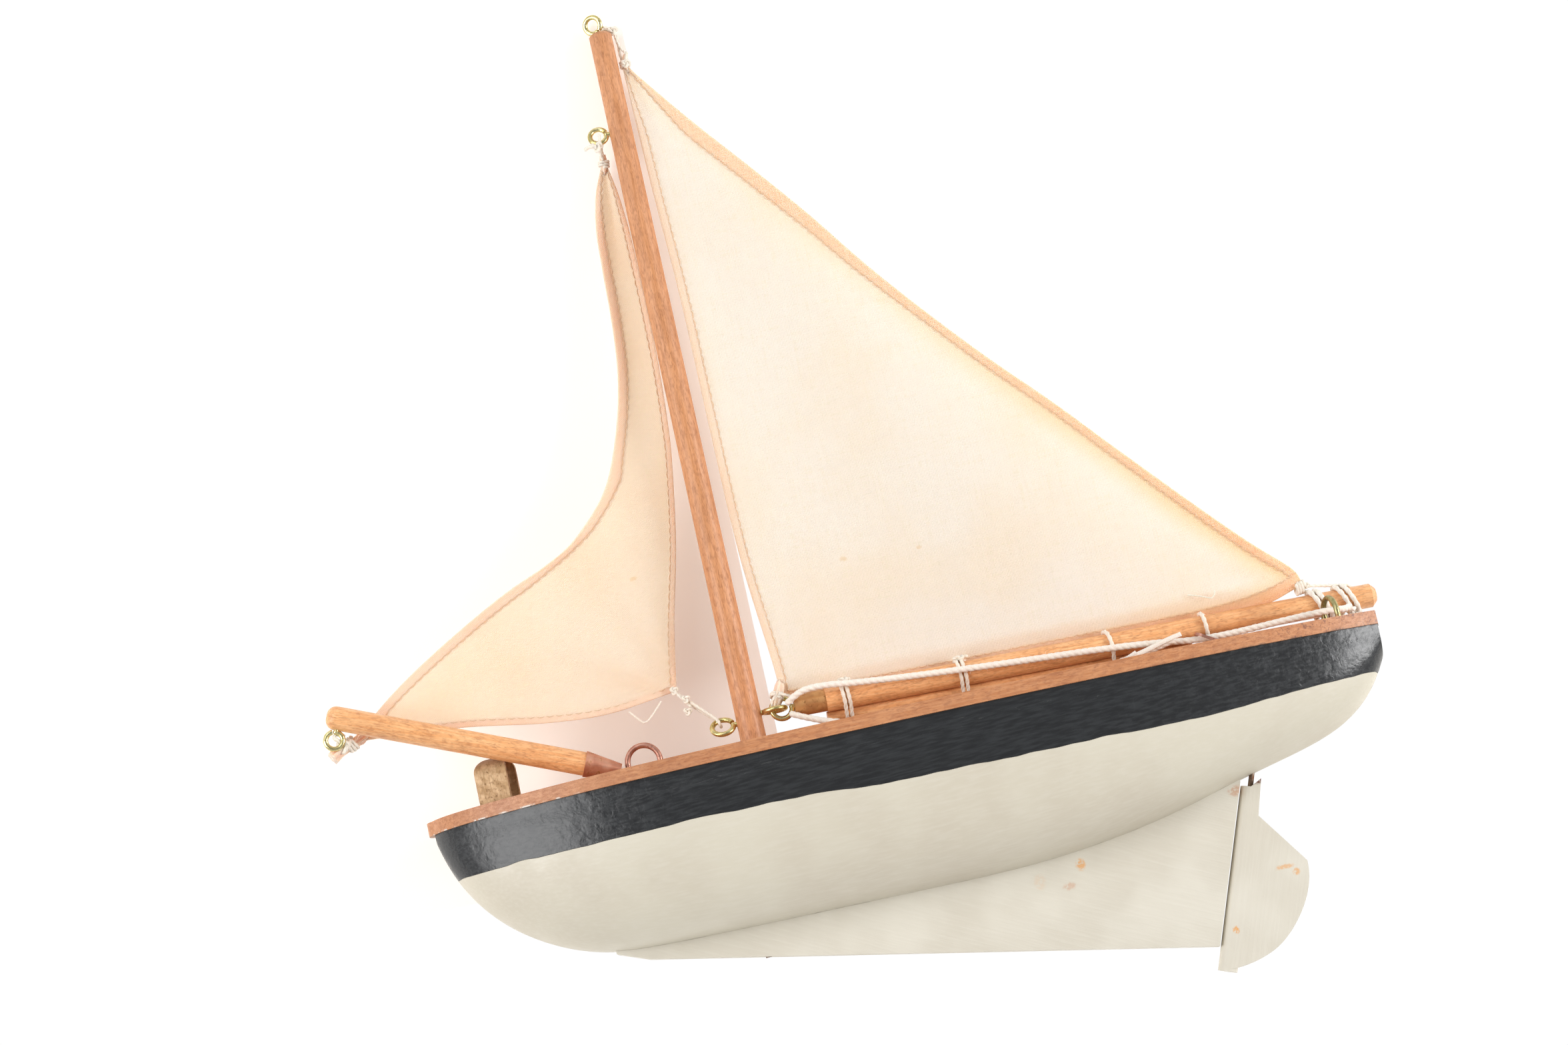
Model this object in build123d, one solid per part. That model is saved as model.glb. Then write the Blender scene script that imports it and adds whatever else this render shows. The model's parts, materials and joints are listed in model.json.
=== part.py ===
from build123d import *
import os
from math import atan2, cos, pi, radians, sin, tan

# Toy pond yacht: a hollow wooden hull with a deck board, a keel fin and a turning rudder,
# one mast, a boom on two linked screw eyes, a bowsprit hinged on a staple, and two cotton sails.
# +Z is up, +X runs aft (the bow is at -X), +Y is starboard. Millimetres.
# The helper numbers below are heights above the deck's top face. The origin is on the keel's
# foot, straight under the mast, so every part is lifted by DECK_HEIGHT when it is written.

DECK_HEIGHT = 54.0

# ---- hull and deck -------------------------------------------------------------------------
DECK_THICK = 3.5
DECK_OVERHANG = 1.0
SHEER = -DECK_THICK                  # top face of the hull, under the deck board
BILGE_POWER = 2.7                    # 2 is an ellipse, larger is a boxier section
SECTION_STEPS = 10
HULL_WALL = 6.0
HULL_FLOOR = 8.0
# x, half beam, depth below the sheer
HULL_STATIONS = [
    (-85.6, 3.0, 3.0), (-84.6, 4.8, 6.6), (-82.6, 7.4, 12.0), (-79.0, 10.6, 18.6),
    (-73.0, 14.4, 25.8), (-64.0, 18.6, 32.6), (-50.0, 23.4, 38.4), (-30.0, 27.2, 40.4),
    (0.0, 29.0, 40.8), (35.0, 29.2, 41.0), (65.0, 28.2, 40.6), (85.0, 26.6, 38.6),
    (105.0, 24.2, 34.8), (125.0, 20.8, 29.6), (140.0, 17.4, 26.0), (150.0, 14.6, 22.2),
    (157.0, 12.0, 17.0), (161.0, 10.2, 12.0), (163.0, 9.2, 8.6),
]
CAVITY_SPAN = (-60.0, 108.0)         # solid wood is left at both ends
DECK_BOW_X = -87.4
DECK_STERN_X = 164.0

# ---- keel and rudder -----------------------------------------------------------------------
KEEL_THICK = 5.0
KEEL_SLOPE = 11.15                   # degrees, the foot runs down towards the stern
KEEL_FRONT_X = -38.0
KEEL_NOSE = (-46.0, -43.5)           # the foot's front corner rises to here, inside the hull's line
KEEL_TOP_Z = -30.0                   # the board's top before the hull is cut out of it
KEEL_TAIL_TOP = (120.0, -34.9)
KEEL_TAIL_FOOT = (105.2, -74.7)
RUDDER_GAP = 0.35
RUDDER_THICK = 5.0
RUDDER_NOSE_SPAN = (-6.0, 41.6)      # distances up the rudder's axis from the keel's tail corner
RUDDER_BORE_SPAN = (13.0, 44.0)
RUDDER_PIN_SPAN = (14.0, 51.0)
RUDDER_PIN_D = 1.4
PIN_CLEARANCE = 0.05
# x, z of the blade's edge: straight from its head to a notch and out to a corner, then curved
RUDDER_STRAIGHTS = [(125.4, -35.2), (122.5, -44.4), (132.0, -58.2)]
RUDDER_CURVE = [
    (132.0, -58.2), (131.3, -63.1), (129.2, -68.0), (125.6, -73.0), (119.4, -78.2), (112.6, -80.5),
    (106.2, -81.0),
]
KEEL_NAIL_D = 1.6
KEEL_NAIL_LENGTH = 17.0
KEEL_NAIL_HEAD = (3.4, 0.8)          # diameter, thickness
KEEL_NAIL_PROUD = 0.6                # the head stands this far off the hull's curved floor
KEEL_NAILS_X = (-8.0, 30.0, 72.0, 100.0)

# ---- spars ---------------------------------------------------------------------------------
MAST_BASE_D = 7.0
MAST_TOP_D = 6.1
MAST_TOP = 198.0
MAST_FOOT = -30.0                    # it stands in a step block inside the hull
MAST_CHAMFER = 0.8
STEP_SIZE = (24.0, 18.0, 12.0)
STEP_RISE = 2.0                      # the step block's middle is this far above the mast's foot
WOOD_FIT = 0.03                      # glue-line clearance round a peg, pin or leg in wood

GOOSENECK = (7.0, 0.0, 9.6)          # centre of the mast's aft eye, where the boom swings
BOOM_YAW = 5.0                       # degrees to starboard at rest
BOOM_DROOP = 1.0
BOOM_D = 6.3
BOOM_START = 7.0                     # distances along the boom from the gooseneck
BOOM_END = 161.3
BOOM_CHAMFER = 1.3
BOOM_FERRULE = (5.2, 13.5, 5.8)      # start, end, outer diameter
FERRULE_WALL = 0.5
LOWER_SPAR = (13.3, 111.2, 3.8)      # start, end, diameter
LOWER_SPAR_OFFSET = (2.2, -4.65)     # sideways and up from the boom's axis
LOWER_SPAR_CHAMFER = 0.5
FOOT_TIES = (17.6, 19.0, 48.6, 49.9, 89.0)
SPARE_TIE = 114.9                    # past the lower spar's end, round the boom alone
END_RINGS = [(147.6, 1.3), (153.2, 1.1), (154.9, 1.1)]  # distance along the boom, cord thickness

SPRIT_HEEL = (-35.3, -1.0, 2.7)      # the end of the copper ferrule
SPRIT_TIP = (-106.0, -12.0, 31.6)
SPRIT_D = 6.2
SPRIT_HEEL_START = 4.0               # the wood's tapered heel starts this far up inside the ferrule
SPRIT_HEEL_D = (3.6, 5.2)
SPRIT_FERRULE_LENGTH = 9.5
SPRIT_FERRULE_D = (3.6, 6.9)         # outer diameters at its two ends
SPRIT_FERRULE_WALL = 0.6
SPRIT_EYE_BACK = 3.2                 # from the tip to the eye's shank

# ---- wire and strap fittings ---------------------------------------------------------------
EYE_OUTER = 7.0
BOOM_EYE_OUTER = 6.7
BOOM_EYE_OFFSET = 1.9                # the two linked rings' centres lie this far apart
SMALL_EYE_OUTER = 5.8
EYE_WIRE = 1.35
EYE_OPENING = 24                     # degrees left open beside the shank
EYE_SHANK = 7.0
BOOM_EYE_SHANK = 9.0
MASTHEAD_EYE_SHANK = 8.0
SPRIT_EYE_SHANK = 6.0
MAST_LOWER_EYE = (-7.1, 0, 8.1)      # centres of the rings
MAST_LOWER_EYE_TURN = -43.0          # degrees from upright about the shank
MAST_UPPER_EYE = (-6.2, 0, 170.2)
MAST_UPPER_EYE_TURN = -18.0
MASTHEAD_EYE = (-1.4, 0, 200.6)
MASTHEAD_EYE_LEAN = 68.0             # its shank goes down into the mast's top, a little forward
MASTHEAD_EYE_TURN = 25.0
STAPLE_WIRE = 1.5
STAPLE_WIDTH = 10.0
STAPLE_LEG = 6.0                     # length of each leg below the deck's top face
FORE_STAPLE_X = -29.0
FORE_STAPLE_TOP = 8.8
STERN_STAPLE_X = 153.2
STERN_STAPLE_TOP = 7.6
STERN_STAPLE_TURN = 16.5             # degrees from square across the boat
STRAP_X = -67.4
STRAP_TOP = 13.2
STRAP_SPAN = 8.5
STRAP_WIDTH = 8.7
STRAP_THICK = 0.9
STRAP_SHOULDER = 3.4                 # radius of the strap's rounded top corners
STRAP_TURN = -13.5
STRAP_FOOT = -4.5                    # its legs go through the deck board

# ---- sails and cords -----------------------------------------------------------------------
SAIL_THICK = 0.9
CORD_D = 1.8
THREAD_D = 0.8
TIE_GAP = 0.06
# Short lashings of sewing thread, each a plain rod where the thread is: start, end, diameter.
THREAD_TIES = {
    "jib_head_tie": ((-6.3, 0.4, 166.8), (-6.4, 3.5, 163.0), 1.6),
    "jib_clew_tie": ((-9.6, 0.4, 12.0), (-16.6, 4.2, 20.2), 1.2),
    "jib_tack_tie": ((-102.8, -9.8, 22.9), (-98.5, -7.6, 23.9), 4.2),
    "main_head_tie": ((4.3, 0.9, 197.2), (4.8, 1.3, 188.3), 1.0),
    "main_tack_tie": ((8.2, 0.8, 13.4), (8.0, 0.9, 15.6), 1.8),
    "main_clew_tie": ((149.9, 12.3, 13.3), (159.6, 13.2, 12.0), 0.9),
}
SLIDER_CENTRE = (121.0, 3.82, 3.95)
SLIDER_LENGTH = 7.0
SLIDER_WIDTH = 4.4
SLIDER_THICK = 0.7
SLIDER_BAR = 0.6                     # width of metal left round the slider's window
SLIDER_ROOM = 1.0                    # the window is this much wider than the cord
SLIDER_TILT = 32.0
SLIDER_YAW = -3.0


def lifted(shape):
    return Pos(0, 0, DECK_HEIGHT) * shape


def write(shape, node):
    export_step(lifted(shape), "parts/" + node + ".step")


def aimed(start, end):
    """Frame at start whose Z axis points to end."""
    return Plane(origin=start, z_dir=Vector(end) - Vector(start)).location


def rod(start, end, diameter):
    length = (Vector(end) - Vector(start)).length
    return aimed(start, end) * extrude(Circle(diameter / 2), length)


def cone(start, end, start_diameter, end_diameter):
    length = (Vector(end) - Vector(start)).length
    align = (Align.CENTER, Align.CENTER, Align.MIN)
    return aimed(start, end) * Cone(start_diameter / 2, end_diameter / 2, length, align=align)


def xz_plate(points, y_low, thickness):
    """Plate with the given x, z outline, from y_low towards +Y."""
    face = Face(Wire(Polyline(*[(x, y_low, z) for x, z in points], close=True)))
    return extrude(face, amount=thickness, dir=(0, 1, 0))


# ---- hull ----------------------------------------------------------------------------------
def section(x, half_beam, depth, top):
    """Closed cross-section wire: a superellipse below a straight lid."""
    points = []
    for i in range(SECTION_STEPS + 1):
        turn = pi * i / SECTION_STEPS
        across = cos(turn)
        side = -1 if across < 0 else 1
        y = -side * half_beam * abs(across) ** (2 / BILGE_POWER)
        z = top - depth * max(sin(turn), 0) ** (2 / BILGE_POWER)
        points.append((x, y, z))
    belly = Spline(*points)
    lid = Line(belly @ 1, belly @ 0)
    return Wire([belly, lid])


def hull_block():
    return Solid.make_loft([section(x, b, d, SHEER) for x, b, d in HULL_STATIONS])


def hull_cavity():
    low, high = CAVITY_SPAN
    stations = [(x, b - HULL_WALL, d - HULL_FLOOR) for x, b, d in HULL_STATIONS if low < x < high]
    return Solid.make_loft([section(x, b, d, SHEER) for x, b, d in stations])


def deck_board():
    side = [(x, b + DECK_OVERHANG) for x, b, d in HULL_STATIONS]
    starboard = Spline(*[(x, y, 0) for x, y in side])
    port = Spline(*[(x, -y, 0) for x, y in side])
    bow = ThreePointArc(port @ 0, (DECK_BOW_X, 0, 0), starboard @ 0)
    stern = ThreePointArc(port @ 1, (DECK_STERN_X, 0, 0), starboard @ 1)
    face = Face(Wire([starboard, stern, port, bow]))
    return extrude(face, amount=DECK_THICK, dir=(0, 0, -1))


# ---- keel and rudder -----------------------------------------------------------------------
def keel_foot_z(x):
    return -DECK_HEIGHT - x * tan(radians(KEEL_SLOPE))


def keel_board(hull):
    outline = [
        (KEEL_FRONT_X, keel_foot_z(KEEL_FRONT_X)), (KEEL_TAIL_FOOT[0], keel_foot_z(KEEL_TAIL_FOOT[0])),
        KEEL_TAIL_TOP, (KEEL_TAIL_TOP[0], KEEL_TOP_Z), (KEEL_NOSE[0], KEEL_TOP_Z), KEEL_NOSE,
    ]
    return xz_plate(outline, -KEEL_THICK / 2, KEEL_THICK) - hull


def rake():
    """Unit vectors along the rudder's axis (upwards) and square to it (aft)."""
    run, rise = KEEL_TAIL_TOP[0] - KEEL_TAIL_FOOT[0], KEEL_TAIL_TOP[1] - KEEL_TAIL_FOOT[1]
    up = Vector(run, 0, rise).normalized()
    aft = Vector(up.Z, 0, -up.X)
    return up, aft


def rudder_axis_point(along):
    up, aft = rake()
    corner = Vector(KEEL_TAIL_FOOT[0], 0, KEEL_TAIL_FOOT[1])
    return corner + aft * (RUDDER_THICK / 2 + RUDDER_GAP) + up * along


def rudder_blade():
    heel, head = [rudder_axis_point(along) for along in RUDDER_NOSE_SPAN]
    nose = rod(heel, head, RUDDER_THICK)

    def on_side(points):
        return [(x, -RUDDER_THICK / 2, z) for x, z in points]

    curve = Spline(*on_side(RUDDER_CURVE))
    corners = on_side([(heel.X, heel.Z), (head.X, head.Z)] + RUDDER_STRAIGHTS)
    outline = Wire([curve, *Polyline(curve @ 1, *corners).edges()])
    blade = extrude(Face(outline), amount=RUDDER_THICK, dir=(0, 1, 0)) + nose
    low, high = [rudder_axis_point(along) for along in RUDDER_BORE_SPAN]
    return blade - rod(low, high, RUDDER_PIN_D + 2 * PIN_CLEARANCE)


def rudder_pin():
    low, high = [rudder_axis_point(along) for along in RUDDER_PIN_SPAN]
    return rod(low, high, RUDDER_PIN_D)


def keel_nail(x):
    """A nail from the hull's floor down into the keel board, with its head over the floor."""
    head_z = hull_floor_z(x) + KEEL_NAIL_PROUD
    head_d, head_thick = KEEL_NAIL_HEAD
    shank = rod((x, 0, head_z), (x, 0, head_z - KEEL_NAIL_LENGTH), KEEL_NAIL_D)
    return shank + rod((x, 0, head_z), (x, 0, head_z + head_thick), head_d)


def hull_floor_z(x):
    low = [station for station in HULL_STATIONS if station[0] <= x][-1]
    high = [station for station in HULL_STATIONS if station[0] > x][0]
    share = (x - low[0]) / (high[0] - low[0])
    depth = low[2] + share * (high[2] - low[2])
    return SHEER - depth + HULL_FLOOR


# ---- screw eyes, staples and strap ---------------------------------------------------------
def screw_eye(outer, wire, shank):
    """Ring in the local XZ plane centred on the origin, with its pointed shank along +X."""
    ring_radius = (outer - wire) / 2
    ring = revolve(Plane.XZ * Pos(ring_radius, 0) * Circle(wire / 2), Axis.Z, 360 - EYE_OPENING)
    ring = Rot(90, 0, 0) * Rot(0, 0, EYE_OPENING) * ring
    stem_d, knuckle_d, tip_d = wire * 1.04, wire * 1.12, wire * 0.24
    tip_start = ring_radius + shank - wire
    stem = rod((ring_radius, 0, 0), (tip_start, 0, 0), stem_d)
    tip = cone((tip_start, 0, 0), (tip_start + wire, 0, 0), stem_d, tip_d)
    knuckle = Pos(ring_radius, 0, 0) * Sphere(knuckle_d / 2)
    return ring + knuckle + stem + tip


def staple(top):
    """Half-round wire staple standing on the deck in the local XZ plane."""
    reach = (STAPLE_WIDTH - STAPLE_WIRE) / 2
    crown = top - STAPLE_WIRE / 2
    spring_line = crown - reach
    left = Line((-reach, 0, -STAPLE_LEG), (-reach, 0, spring_line))
    arch = ThreePointArc((-reach, 0, spring_line), (0, 0, crown), (reach, 0, spring_line))
    right = Line((reach, 0, spring_line), (reach, 0, -STAPLE_LEG))
    path = Wire([left, arch, right])
    return sweep(Plane(origin=path @ 0, z_dir=(0, 0, 1)) * Circle(STAPLE_WIRE / 2), path=path)


def gammon_strap():
    """Strip bent over into a hoop across the boat, its top corners rounded off."""
    half = STRAP_SPAN / 2
    inner = half - STRAP_THICK
    bend = STRAP_TOP - half

    def arched(reach):
        """A doorway shape in the YZ plane: straight sides under a half-round top."""
        return Face(Wire([
            Line((0, -reach, STRAP_FOOT), (0, -reach, bend)),
            ThreePointArc((0, -reach, bend), (0, 0, bend + reach), (0, reach, bend)),
            Line((0, reach, bend), (0, reach, STRAP_FOOT)),
            Line((0, reach, STRAP_FOOT), (0, -reach, STRAP_FOOT)),
        ]))

    width = STRAP_WIDTH / 2
    hoop = extrude(arched(half), amount=width, dir=(1, 0, 0), both=True)
    hoop -= extrude(arched(inner), amount=STRAP_WIDTH, dir=(1, 0, 0), both=True)
    corner = STRAP_SHOULDER * (1 - cos(pi / 4))
    shoulder_x, shoulder_z = width - STRAP_SHOULDER, STRAP_TOP - STRAP_SHOULDER
    mask = Face(Wire([
        Line((-width, 0, STRAP_FOOT), (-width, 0, shoulder_z)),
        ThreePointArc((-width, 0, shoulder_z), (corner - width, 0, STRAP_TOP - corner),
                      (-shoulder_x, 0, STRAP_TOP)),
        Line((-shoulder_x, 0, STRAP_TOP), (shoulder_x, 0, STRAP_TOP)),
        ThreePointArc((shoulder_x, 0, STRAP_TOP), (width - corner, 0, STRAP_TOP - corner),
                      (width, 0, shoulder_z)),
        Line((width, 0, shoulder_z), (width, 0, STRAP_FOOT)),
        Line((width, 0, STRAP_FOOT), (-width, 0, STRAP_FOOT)),
    ]))
    hoop &= extrude(mask, amount=STRAP_SPAN, dir=(0, 1, 0), both=True)
    return Pos(STRAP_X, 0, 0) * Rot(0, 0, STRAP_TURN) * hoop


# ---- spars and what is on them -------------------------------------------------------------
def on_boom(shape):
    """From the boom's own frame (X along it from the gooseneck) to the boat's."""
    return Pos(*GOOSENECK) * Rot(0, 0, BOOM_YAW) * Rot(0, BOOM_DROOP, 0) * shape


def mast_spar():
    spar = cone((0, 0, MAST_FOOT), (0, 0, MAST_TOP), MAST_BASE_D, MAST_TOP_D)
    return chamfer(spar.edges().sort_by(Axis.Z)[-1], MAST_CHAMFER)


def boom_spar():
    spar = Rot(0, 90, 0) * extrude(Circle(BOOM_D / 2), BOOM_END)
    spar = chamfer(spar.edges().sort_by(Axis.X)[-1], BOOM_CHAMFER)
    start, end, outer = BOOM_FERRULE
    sleeve = extrude(Circle(BOOM_D), end) - extrude(Circle(outer / 2 - FERRULE_WALL), end)
    front = extrude(Circle(BOOM_D), BOOM_START)
    return spar - Rot(0, 90, 0) * sleeve - Rot(0, 90, 0) * front


def boom_ferrule():
    start, end, outer = BOOM_FERRULE
    bore = extrude(Circle(outer / 2 - FERRULE_WALL + WOOD_FIT), end - BOOM_START)
    sleeve = Pos(start, 0, 0) * Rot(0, 90, 0) * extrude(Circle(outer / 2), end - start)
    return sleeve - Pos(BOOM_START, 0, 0) * Rot(0, 90, 0) * bore


def lower_spar():
    start, end, diameter = LOWER_SPAR
    across, up = LOWER_SPAR_OFFSET
    spar = Pos(start, across, up) * Rot(0, 90, 0) * extrude(Circle(diameter / 2), end - start)
    return chamfer(spar.edges().sort_by(Axis.X)[-1], LOWER_SPAR_CHAMFER)


def boom_tie(along, wire):
    """One flat band of thread round the boom and the lower spar together."""
    r_boom = BOOM_D / 2 + TIE_GAP
    r_spar = LOWER_SPAR[2] / 2 + TIE_GAP
    across, up = LOWER_SPAR_OFFSET

    def outline(grow):
        boom = Circle(r_boom + grow)
        spar = Pos(across, up) * Circle(r_spar + grow)
        return make_hull(boom.edges() + spar.edges())

    band = extrude(outline(wire) - outline(0), wire / 2, both=True)
    return Location(Plane(origin=(along, 0, 0), x_dir=(0, 1, 0), z_dir=(1, 0, 0))) * band


def boom_ring(along, wire):
    return Pos(along, 0, 0) * Rot(0, 90, 0) * Torus(BOOM_D / 2 + wire / 2 + TIE_GAP, wire / 2)


def sprit_point(along, up=0.0):
    """Point at a distance along the bowsprit from its heel, and up square to it."""
    heel, tip = Vector(SPRIT_HEEL), Vector(SPRIT_TIP)
    axis = (tip - heel).normalized()
    lift = (Vector(0, 0, 1) - axis * axis.Z).normalized()
    return heel + axis * along + lift * up


def sprit_length():
    return (Vector(SPRIT_TIP) - Vector(SPRIT_HEEL)).length


def bowsprit_spar():
    mouth = sprit_point(SPRIT_FERRULE_LENGTH)
    body = rod(mouth, sprit_point(sprit_length()), SPRIT_D)
    tip_edge = body.edges().sort_by(Axis.X)[0]
    body = fillet(tip_edge, SPRIT_D * 0.4)
    return body + cone(sprit_point(SPRIT_HEEL_START), mouth, *SPRIT_HEEL_D)


def bowsprit_ferrule():
    """Copper cap crimped on the heel: it tapers to an open eye at the staple."""
    ends = sprit_point(0), sprit_point(SPRIT_FERRULE_LENGTH)
    bore = [diameter - 2 * SPRIT_FERRULE_WALL for diameter in SPRIT_FERRULE_D]
    return cone(*ends, *SPRIT_FERRULE_D) - cone(*ends, *bore)


def bowsprit_eye():
    """Screw eye under the tip, its ring in the bowsprit's upright plane."""
    drop = SPRIT_D / 2 + (SMALL_EYE_OUTER - EYE_WIRE) / 2 + EYE_WIRE / 3
    along = sprit_length() - SPRIT_EYE_BACK
    centre = sprit_point(along, -drop)
    axis = sprit_point(along + 1, -drop) - centre
    into_wood = sprit_point(along, 1 - drop) - centre
    frame = Plane(origin=centre, x_dir=into_wood, z_dir=axis).location
    return frame * screw_eye(SMALL_EYE_OUTER, EYE_WIRE, SPRIT_EYE_SHANK)


# ---- sails ---------------------------------------------------------------------------------
def sail(outline, tack, across_x, across_z):
    """Flat sail leaning sideways: y is a plane over x and z through the tack's y."""
    tack_x, tack_y, tack_z = tack
    points = [(x, tack_y + across_x * (x - tack_x) + across_z * (z - tack_z), z) for x, z in outline]
    return extrude(Face(Wire(Polyline(*points, close=True))), amount=SAIL_THICK, dir=(0, 1, 0))


def main_sail():
    tack = (8.3, 0.8, 16.2)
    outline = [
        (8.3, 16.2), (9.4, 19.0), (6.6, 51.0), (6.2, 86.0), (5.6, 122.0), (4.8, 153.0), (3.9, 187.0),
        (5.6, 187.0), (14.3, 175.8), (32.5, 152.2), (50.2, 128.8), (68.2, 105.5), (89.2, 81.6), (110.2, 57.8),
        (131.0, 34.2), (146.6, 18.0), (148.6, 13.8), (121.4, 13.3), (52.5, 14.0), (12.0, 14.4),
    ]
    return sail(outline, tack, 0.0715, 0.0015)


def jib_sail():
    tack = (-97.6, -4.0, 25.0)
    outline = [
        (-97.6, 25.0), (-95.6, 31.0), (-90.5, 35.0), (-75.9, 44.2), (-56.8, 54.2), (-43.0, 60.4),
        (-34.6, 65.5), (-24.8, 76.1), (-18.9, 89.8), (-15.1, 104.3), (-13.5, 118.2), (-12.8, 135.7),
        (-11.6, 154.0),
        (-7.6, 162.5), (-5.2, 162.5), (-3.4, 140.0), (-3.4, 112.0), (-4.7, 91.0), (-9.3, 57.6), (-14.1, 37.4),
        (-17.6, 21.4), (-35.0, 18.6), (-51.6, 19.6), (-73.8, 22.6),
    ]
    return sail(outline, tack, 0.100, -0.012)


# ---- cords ---------------------------------------------------------------------------------
# The sheet runs from the gooseneck along the boom's port side, over the thread ties, through the
# slider and the stern staple, and back to the boom's end.
MAIN_SHEET_ROUTE = [
    (10.3, -2.6, 10.0), (13.4, -3.7, 12.4), (19.6, -3.8, 12.9), (29.0, -3.2, 11.6), (46.0, -1.9, 10.0),
    (71.0, 0.7, 8.3), (93.0, 2.4, 7.0), (107.5, 3.9, 5.7), (116.5, 4.0, 4.2), (126.0, 3.6, 3.7),
    (139.0, 2.9, 3.9), (149.0, 1.2, 3.9), (154.6, 1.6, 3.8), (158.2, 5.2, 3.7), (159.6, 8.6, 4.6),
]
# The other end of the same cord drops from the gooseneck and lies along the deck.
SHEET_TAIL_ROUTE = [
    (10.6, -2.2, 7.6), (13.6, -2.9, 6.0), (19.0, -3.1, 3.6), (26.5, -3.4, 1.5), (37.0, -3.2, 1.2),
    (54.0, -2.2, 1.25), (72.0, -0.4, 1.2), (87.0, 1.0, 1.4), (98.0, 1.6, 2.6), (106.0, 1.2, 3.6),
    (112.0, 0.6, 5.0),
]


def cord(route, name):
    """Round cord: straight runs joined by tangent arcs as large as the runs allow."""
    points = [Vector(p) for p in route]
    radii = []
    for before, here, after in zip(points, points[1:], points[2:]):
        turn = radians((here - before).get_angle(after - here))
        shorter = min((here - before).length, (after - here).length)
        radii.append(0.45 * shorter / tan(turn / 2))
    path = FilletPolyline(*points, radius=radii)
    tube = sweep(Plane(origin=path @ 0, z_dir=path % 0) * Circle(CORD_D / 2), path=path)
    ideal = pi * CORD_D ** 2 / 4 * path.length
    print(name, "length", round(path.length, 1), "smallest radius", round(min(radii), 1),
          "volume ratio", round(tube.volume / ideal, 3))
    return tube


def sheet_slider():
    """Flat oval ring threaded on the sheet, tilted so that it grips the cord."""
    plate = extrude(SlotOverall(SLIDER_LENGTH, SLIDER_WIDTH), SLIDER_THICK / 2, both=True)
    opening = SlotOverall(SLIDER_LENGTH - 2 * SLIDER_BAR, CORD_D + SLIDER_ROOM)
    window = extrude(opening, SLIDER_THICK, both=True)
    return Pos(*SLIDER_CENTRE) * Rot(0, 0, SLIDER_YAW) * Rot(0, SLIDER_TILT, 0) * (plate - window)


# ---- everything ----------------------------------------------------------------------------
def build_parts():
    parts = {}
    block = hull_block()
    deck = deck_board()
    keel = keel_board(block)
    mast = mast_spar()
    mast_hole = rod((0, 0, MAST_FOOT), (0, 0, 0), MAST_BASE_D + 2 * WOOD_FIT)

    big_eye = screw_eye(EYE_OUTER, EYE_WIRE, EYE_SHANK)
    small_eye = screw_eye(SMALL_EYE_OUTER, EYE_WIRE, EYE_SHANK)
    top_eye = screw_eye(SMALL_EYE_OUTER, EYE_WIRE, MASTHEAD_EYE_SHANK)
    eyes = {
        "mast_aft_eye": Pos(*GOOSENECK) * Rot(90, 180, 0) * big_eye,
        "mast_fore_lower_eye": Pos(*MAST_LOWER_EYE) * Rot(MAST_LOWER_EYE_TURN, 0, 0) * big_eye,
        "mast_fore_upper_eye": Pos(*MAST_UPPER_EYE) * Rot(MAST_UPPER_EYE_TURN, 0, 0) * small_eye,
        "masthead_eye": Pos(*MASTHEAD_EYE) * Rot(0, MASTHEAD_EYE_LEAN, 0) * Rot(
            MASTHEAD_EYE_TURN, 0, 0) * top_eye,
    }
    for shape in eyes.values():
        mast -= shape
    parts.update(eyes)

    fore_staple = Pos(FORE_STAPLE_X, 0, 0) * staple(FORE_STAPLE_TOP)
    stern_staple = Pos(STERN_STAPLE_X, 0, 0) * Rot(0, 0, STERN_STAPLE_TURN + 90) * staple(STERN_STAPLE_TOP)
    strap = gammon_strap()
    deck = deck - mast_hole - fore_staple - stern_staple - strap
    pin = rudder_pin()
    hull = block - hull_cavity() - pin - fore_staple - stern_staple - strap

    nails = [keel_nail(x) for x in KEEL_NAILS_X]
    for nail in nails:
        hull -= nail
        keel -= nail
    size_x, size_y, size_z = STEP_SIZE
    step = Pos(0, 0, MAST_FOOT + STEP_RISE) * Box(size_x, size_y, size_z)
    step = step - hull - mast_hole

    boom_eye = on_boom(Pos(BOOM_EYE_OFFSET, 0, 0) * screw_eye(BOOM_EYE_OUTER, EYE_WIRE, BOOM_EYE_SHANK))
    boom = on_boom(boom_spar()) - boom_eye
    ferrule = on_boom(boom_ferrule()) - boom_eye
    sprit_eye = bowsprit_eye()
    sprit = bowsprit_spar() - sprit_eye

    ties = [boom_tie(along, THREAD_D) for along in FOOT_TIES]
    ties.append(boom_ring(SPARE_TIE, THREAD_D))
    lashings = [boom_ring(along, wire) for along, wire in END_RINGS]

    parts.update({node: rod(*ends_and_diameter) for node, ends_and_diameter in THREAD_TIES.items()})
    parts.update({
        "hull": hull, "deck": deck, "keel_fin": keel, "keel_nails": Compound(children=nails),
        "mast_step": step, "mast": mast, "rudder": rudder_blade(), "rudder_pin": pin,
        "gammon_strap": strap, "fore_staple": fore_staple, "stern_staple": stern_staple,
        "boom_spar": boom, "boom_ferrule": ferrule, "boom_eye": boom_eye,
        "lower_spar": on_boom(lower_spar()), "foot_ties": on_boom(Compound(children=ties)),
        "boom_end_lashing": on_boom(Compound(children=lashings)),
        "bowsprit_spar": sprit, "bowsprit_ferrule": bowsprit_ferrule(), "bowsprit_eye": sprit_eye,
        "main_sail": main_sail(), "jib_sail": jib_sail(),
        "main_sheet": cord(MAIN_SHEET_ROUTE, "main_sheet"),
        "sheet_tail": cord(SHEET_TAIL_ROUTE, "sheet_tail"), "sheet_slider": sheet_slider(),
    })
    return parts


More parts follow.
